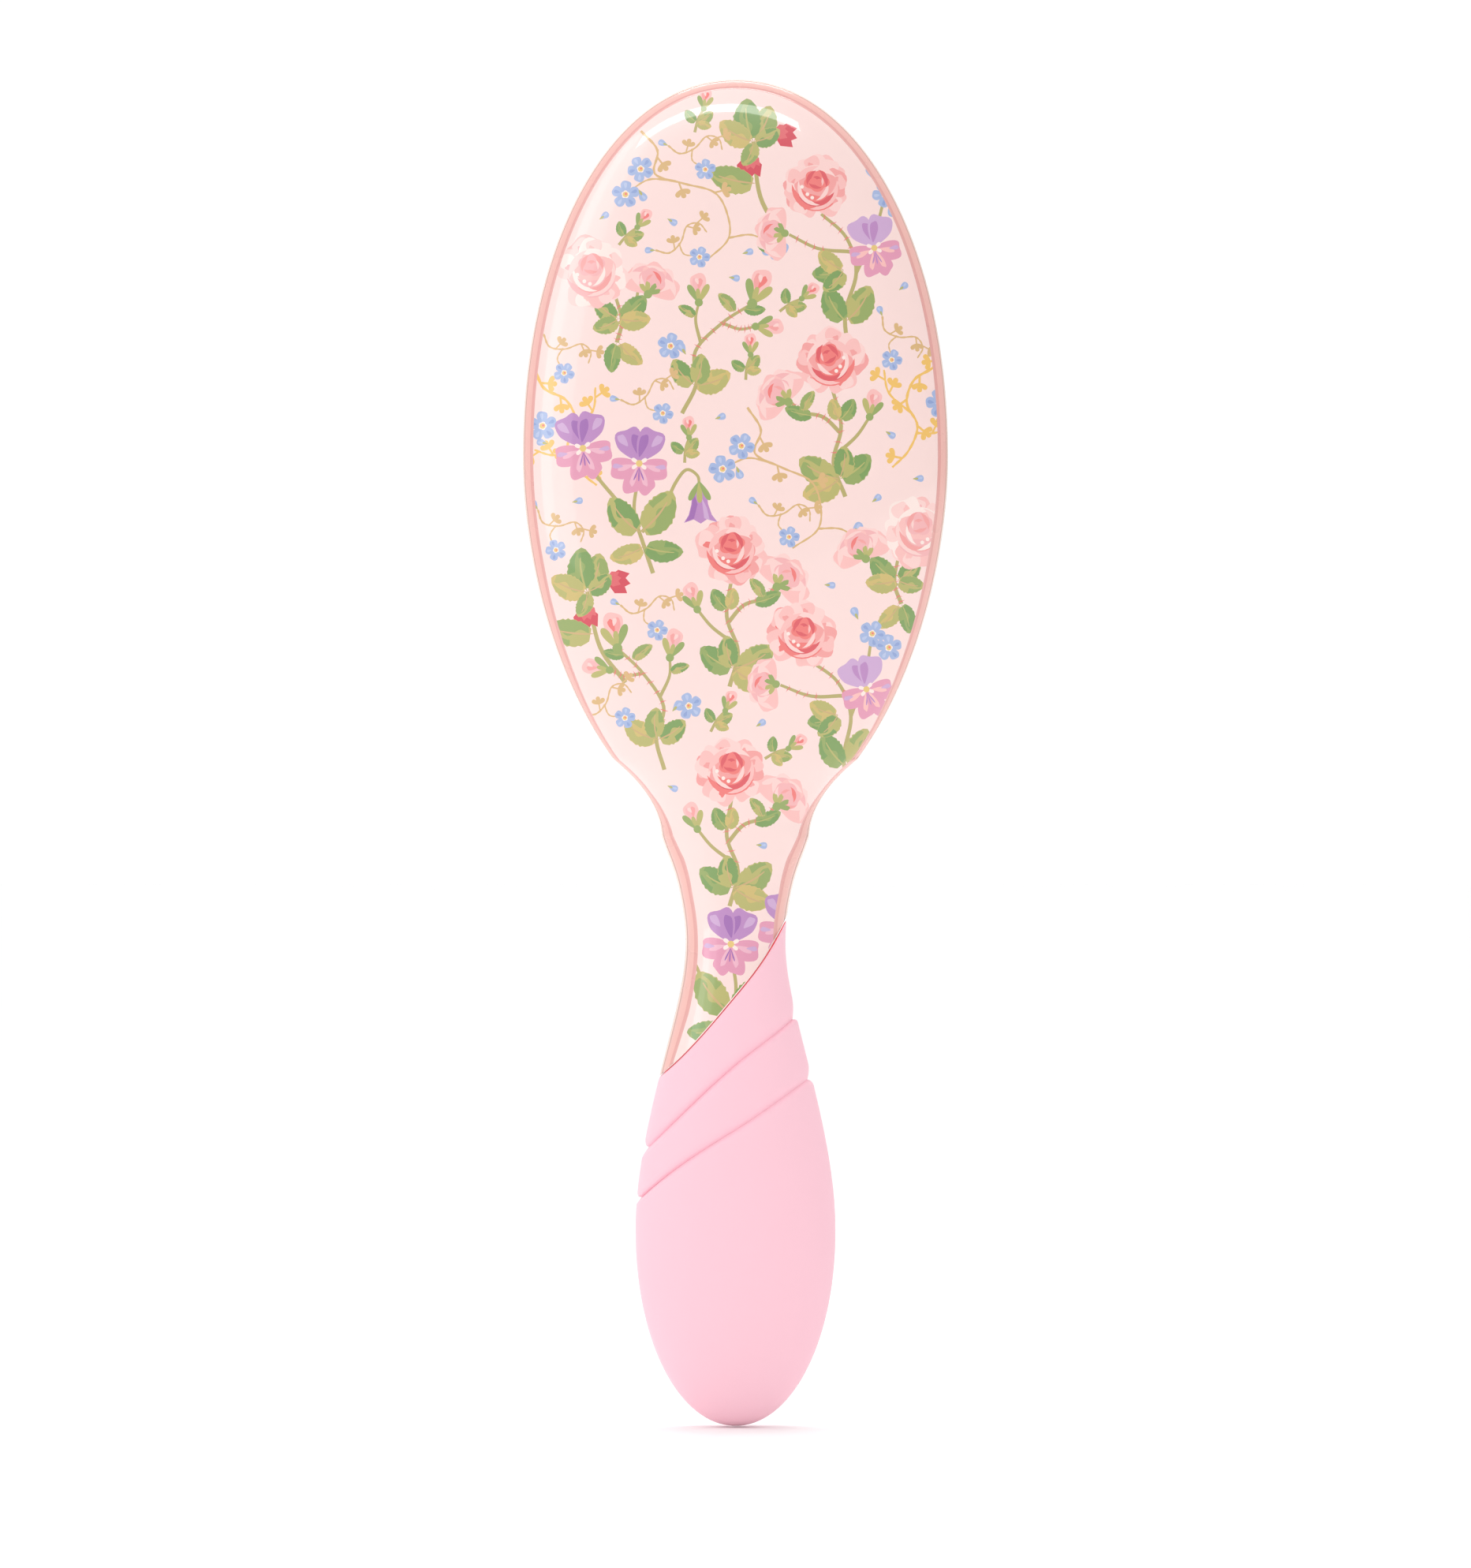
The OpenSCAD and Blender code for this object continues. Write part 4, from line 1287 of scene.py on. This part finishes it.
materials = {name: lacquer("print_" + name, colour) for name, colour in PRINT_COLOURS.items()}
# Rim colours: plain pink, painted shade beside the print and in the fine groove, and a painted reflection on
# the outer edge
for tint, name, colour in (
    ("pink", "pink_gloss", PINK),
    ("pink_shade", "pink_shade", PINK_PAINTED_SHADE),
    ("pink_line", "pink_line", PINK_GROOVE_PAINTED_SHADE),
    ("pink_pale", "pink_pale", PINK_EDGE_PAINTED_REFLECTION),
):
    materials[tint] = surface(name, colour, 0.28, 500, 3e-6, 0.03, Coat_Weight=0.6, Coat_Roughness=0.08)
materials["hidden"] = surface("inner_plastic", PINK, 0.5, 300, 2e-5)
# Gap walls and core: deep red as painted shade in the gap, lifted by an emission that is a painted glow of
# light through the plastic
materials["gap"] = surface("deep_pink_painted_shade_and_glow", GAP_PAINTED_SHADE_AND_GLOW, 0.6, 300, 1e-5, Emission_Strength=0.35,
                           Emission_Color=linear(GAP_PAINTED_SHADE_AND_GLOW))
materials["grip"] = surface("soft_touch", GRIP_PINK, 0.62, 2600, 1.2e-5, 0.08, Sheen_Weight=0.12,
                            Sheen_Roughness=0.4)
materials["rubber"] = surface("cushion_rubber", RUBBER_PINK, 0.42, 700, 1.5e-5)
nylon = surface("bristle_nylon", NYLON, 0.28, 900, 4e-6, Subsurface_Weight=0.15, Subsurface_Scale=0.001)
clamp_plastic = materials["hidden"]

# ---- The pieces ----

back = shell(BACK, flowers(), False).piece("back_shell_lacquered", materials)
front = shell(FRONT, [], True).piece("front_shell_gloss", materials)
sleeve = grip().piece("grip_sleeve_soft", materials, 60)
pad = cushion().piece("cushion_rubber_pad", materials, 50)

for piece, node, slot in (
    (back, "back_shell", "printed_gloss"),
    (front, "front_shell", "shell_gloss"),
    (sleeve, "grip_sleeve", "soft_grip"),
):
    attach(piece, ROOT)
    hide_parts(node)
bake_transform(pad)
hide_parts("cushion")

for name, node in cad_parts.items():
    if name.startswith("bristle_row"):
        finish = nylon
    elif name == "clamp_ring":
        finish = clamp_plastic
    else:
        continue
    for slot in node.material_slots:
        slot.material = finish

# ---- Stage, light and camera ----

FLOOR_GAP = 0.2 * MM
FLOOR_RINGS = [0.05, 0.3, 1.5, 8]
FLOOR_SIDES = 96
DOME_RADIUS = 9.5  # inside the far clipping distance of every view
CAMERA_LENS = 200
CAMERA_SENSOR = 36
FRAME_HEIGHT = 0.2656
FRAME_CENTRE_Z = 0.0756
ROOM_LEVEL = 0.7
ROOM_SLOPE = (-0.22, 0, 0.48)  # how fast the room's brightness grows along each axis


def stage_piece(name, mesh, paint):
    """A mesh set up as a painted piece of the stage."""
    mesh.materials.append(paint)
    piece = bpy.data.objects.new(name, mesh)
    bpy.context.scene.collection.objects.link(piece)
    return piece


def stage_floor():
    """A wide round floor just under the end of the handle."""
    turn = np.linspace(0, 2 * np.pi, FLOOR_SIDES, endpoint=False)
    points = [(0, 0, 0)] + [(r * math.cos(a), r * math.sin(a), 0) for r in FLOOR_RINGS for a in turn]
    faces = [(0, 1 + i, 1 + (i + 1) % FLOOR_SIDES) for i in range(FLOOR_SIDES)]
    for ring in range(len(FLOOR_RINGS) - 1):
        one = 1 + ring * FLOOR_SIDES
        other = one + FLOOR_SIDES
        for i in range(FLOOR_SIDES):
            j = (i + 1) % FLOOR_SIDES
            faces.append((one + i, other + i, other + j, one + j))
    mesh = bpy.data.meshes.new("floor")
    mesh.from_pydata(points, [], faces)
    floor = stage_piece("floor", mesh, surface("floor_paint", (255, 255, 255), 0.8, 40, 1e-5))
    floor.location.z = -BUTT_LENGTH * MM - FLOOR_GAP


def white_dome():
    """The plain white surround. Only the camera sees it, so it lights nothing."""
    paint = bpy.data.materials.new("surround")
    paint.use_nodes = True
    shader = paint.node_tree.nodes["Principled BSDF"]
    shader.inputs["Base Color"].default_value = (0, 0, 0, 1)
    shader.inputs["Emission Color"].default_value = (1, 1, 1, 1)
    shader.inputs["Emission Strength"].default_value = 1
    paint.cycles.emission_sampling = "NONE"
    shape = bmesh.new()
    bmesh.ops.create_icosphere(shape, subdivisions=4, radius=DOME_RADIUS)
    mesh = bpy.data.meshes.new("surround")
    shape.to_mesh(mesh)
    shape.free()
    dome = stage_piece("surround", mesh, paint)
    for use in ("diffuse", "glossy", "transmission", "volume_scatter", "shadow"):
        setattr(dome, "visible_" + use, False)


def softbox(name, place, aim, width, height, power, only_gloss=False):
    light = bpy.data.lights.new(name, "AREA")
    light.shape = "RECTANGLE"
    light.size = width
    light.size_y = height
    light.energy = power
    obj = bpy.data.objects.new(name, light)
    obj.visible_diffuse = not only_gloss
    obj.location = place
    obj.rotation_mode = "QUATERNION"
    obj.rotation_quaternion = (Vector(aim) - Vector(place)).to_track_quat("-Z", "Y")
    bpy.context.scene.collection.objects.link(obj)


def sky():
    """A pale room, brighter above the brush and to its left."""
    world = bpy.data.worlds.new("pale_room")
    bpy.context.scene.world = world
    world.use_nodes = True
    nodes, links = world.node_tree.nodes, world.node_tree.links
    place = nodes.new("ShaderNodeTexCoord")
    slope = nodes.new("ShaderNodeVectorMath")
    slope.operation = "DOT_PRODUCT"
    slope.inputs[1].default_value = ROOM_SLOPE
    level = nodes.new("ShaderNodeMath")
    level.inputs[1].default_value = ROOM_LEVEL
    links.new(place.outputs["Generated"], slope.inputs[0])
    links.new(slope.outputs["Value"], level.inputs[0])
    links.new(level.outputs["Value"], nodes["Background"].inputs["Strength"])
    nodes["Background"].inputs["Color"].default_value = (1, 1, 1, 1)


stage_floor()
white_dome()
sky()
softbox("top_strip", (-0.15, -0.9, 1.12), (0, 0, 0.15), 1.3, 0.15, 3.9, only_gloss=True)
softbox("left_panel", (-1.15, -0.96, 0.45), (0, 0, 0.45), 0.8, 2.4, 5.4, only_gloss=True)
softbox("left_edge", (-1.23, -0.77, 0.45), (0, 0, 0.45), 0.37, 2.4, 2.5, only_gloss=True)
softbox("back_strip", (0, 0.25, 1.0), (0, 0, 0.19), 0.7, 0.2, 3)

camera_data = bpy.data.cameras.new("camera")
camera_data.lens = CAMERA_LENS
camera_data.sensor_width = CAMERA_SENSOR
camera = bpy.data.objects.new("camera", camera_data)
camera.location = (0, -FRAME_HEIGHT * CAMERA_LENS / CAMERA_SENSOR, FRAME_CENTRE_Z)
camera.rotation_mode = "QUATERNION"
camera.rotation_quaternion = Vector((0, 1, 0)).to_track_quat("-Z", "Y")
bpy.context.scene.collection.objects.link(camera)
bpy.context.scene.camera = camera
bpy.context.scene.view_settings.view_transform = "Standard"
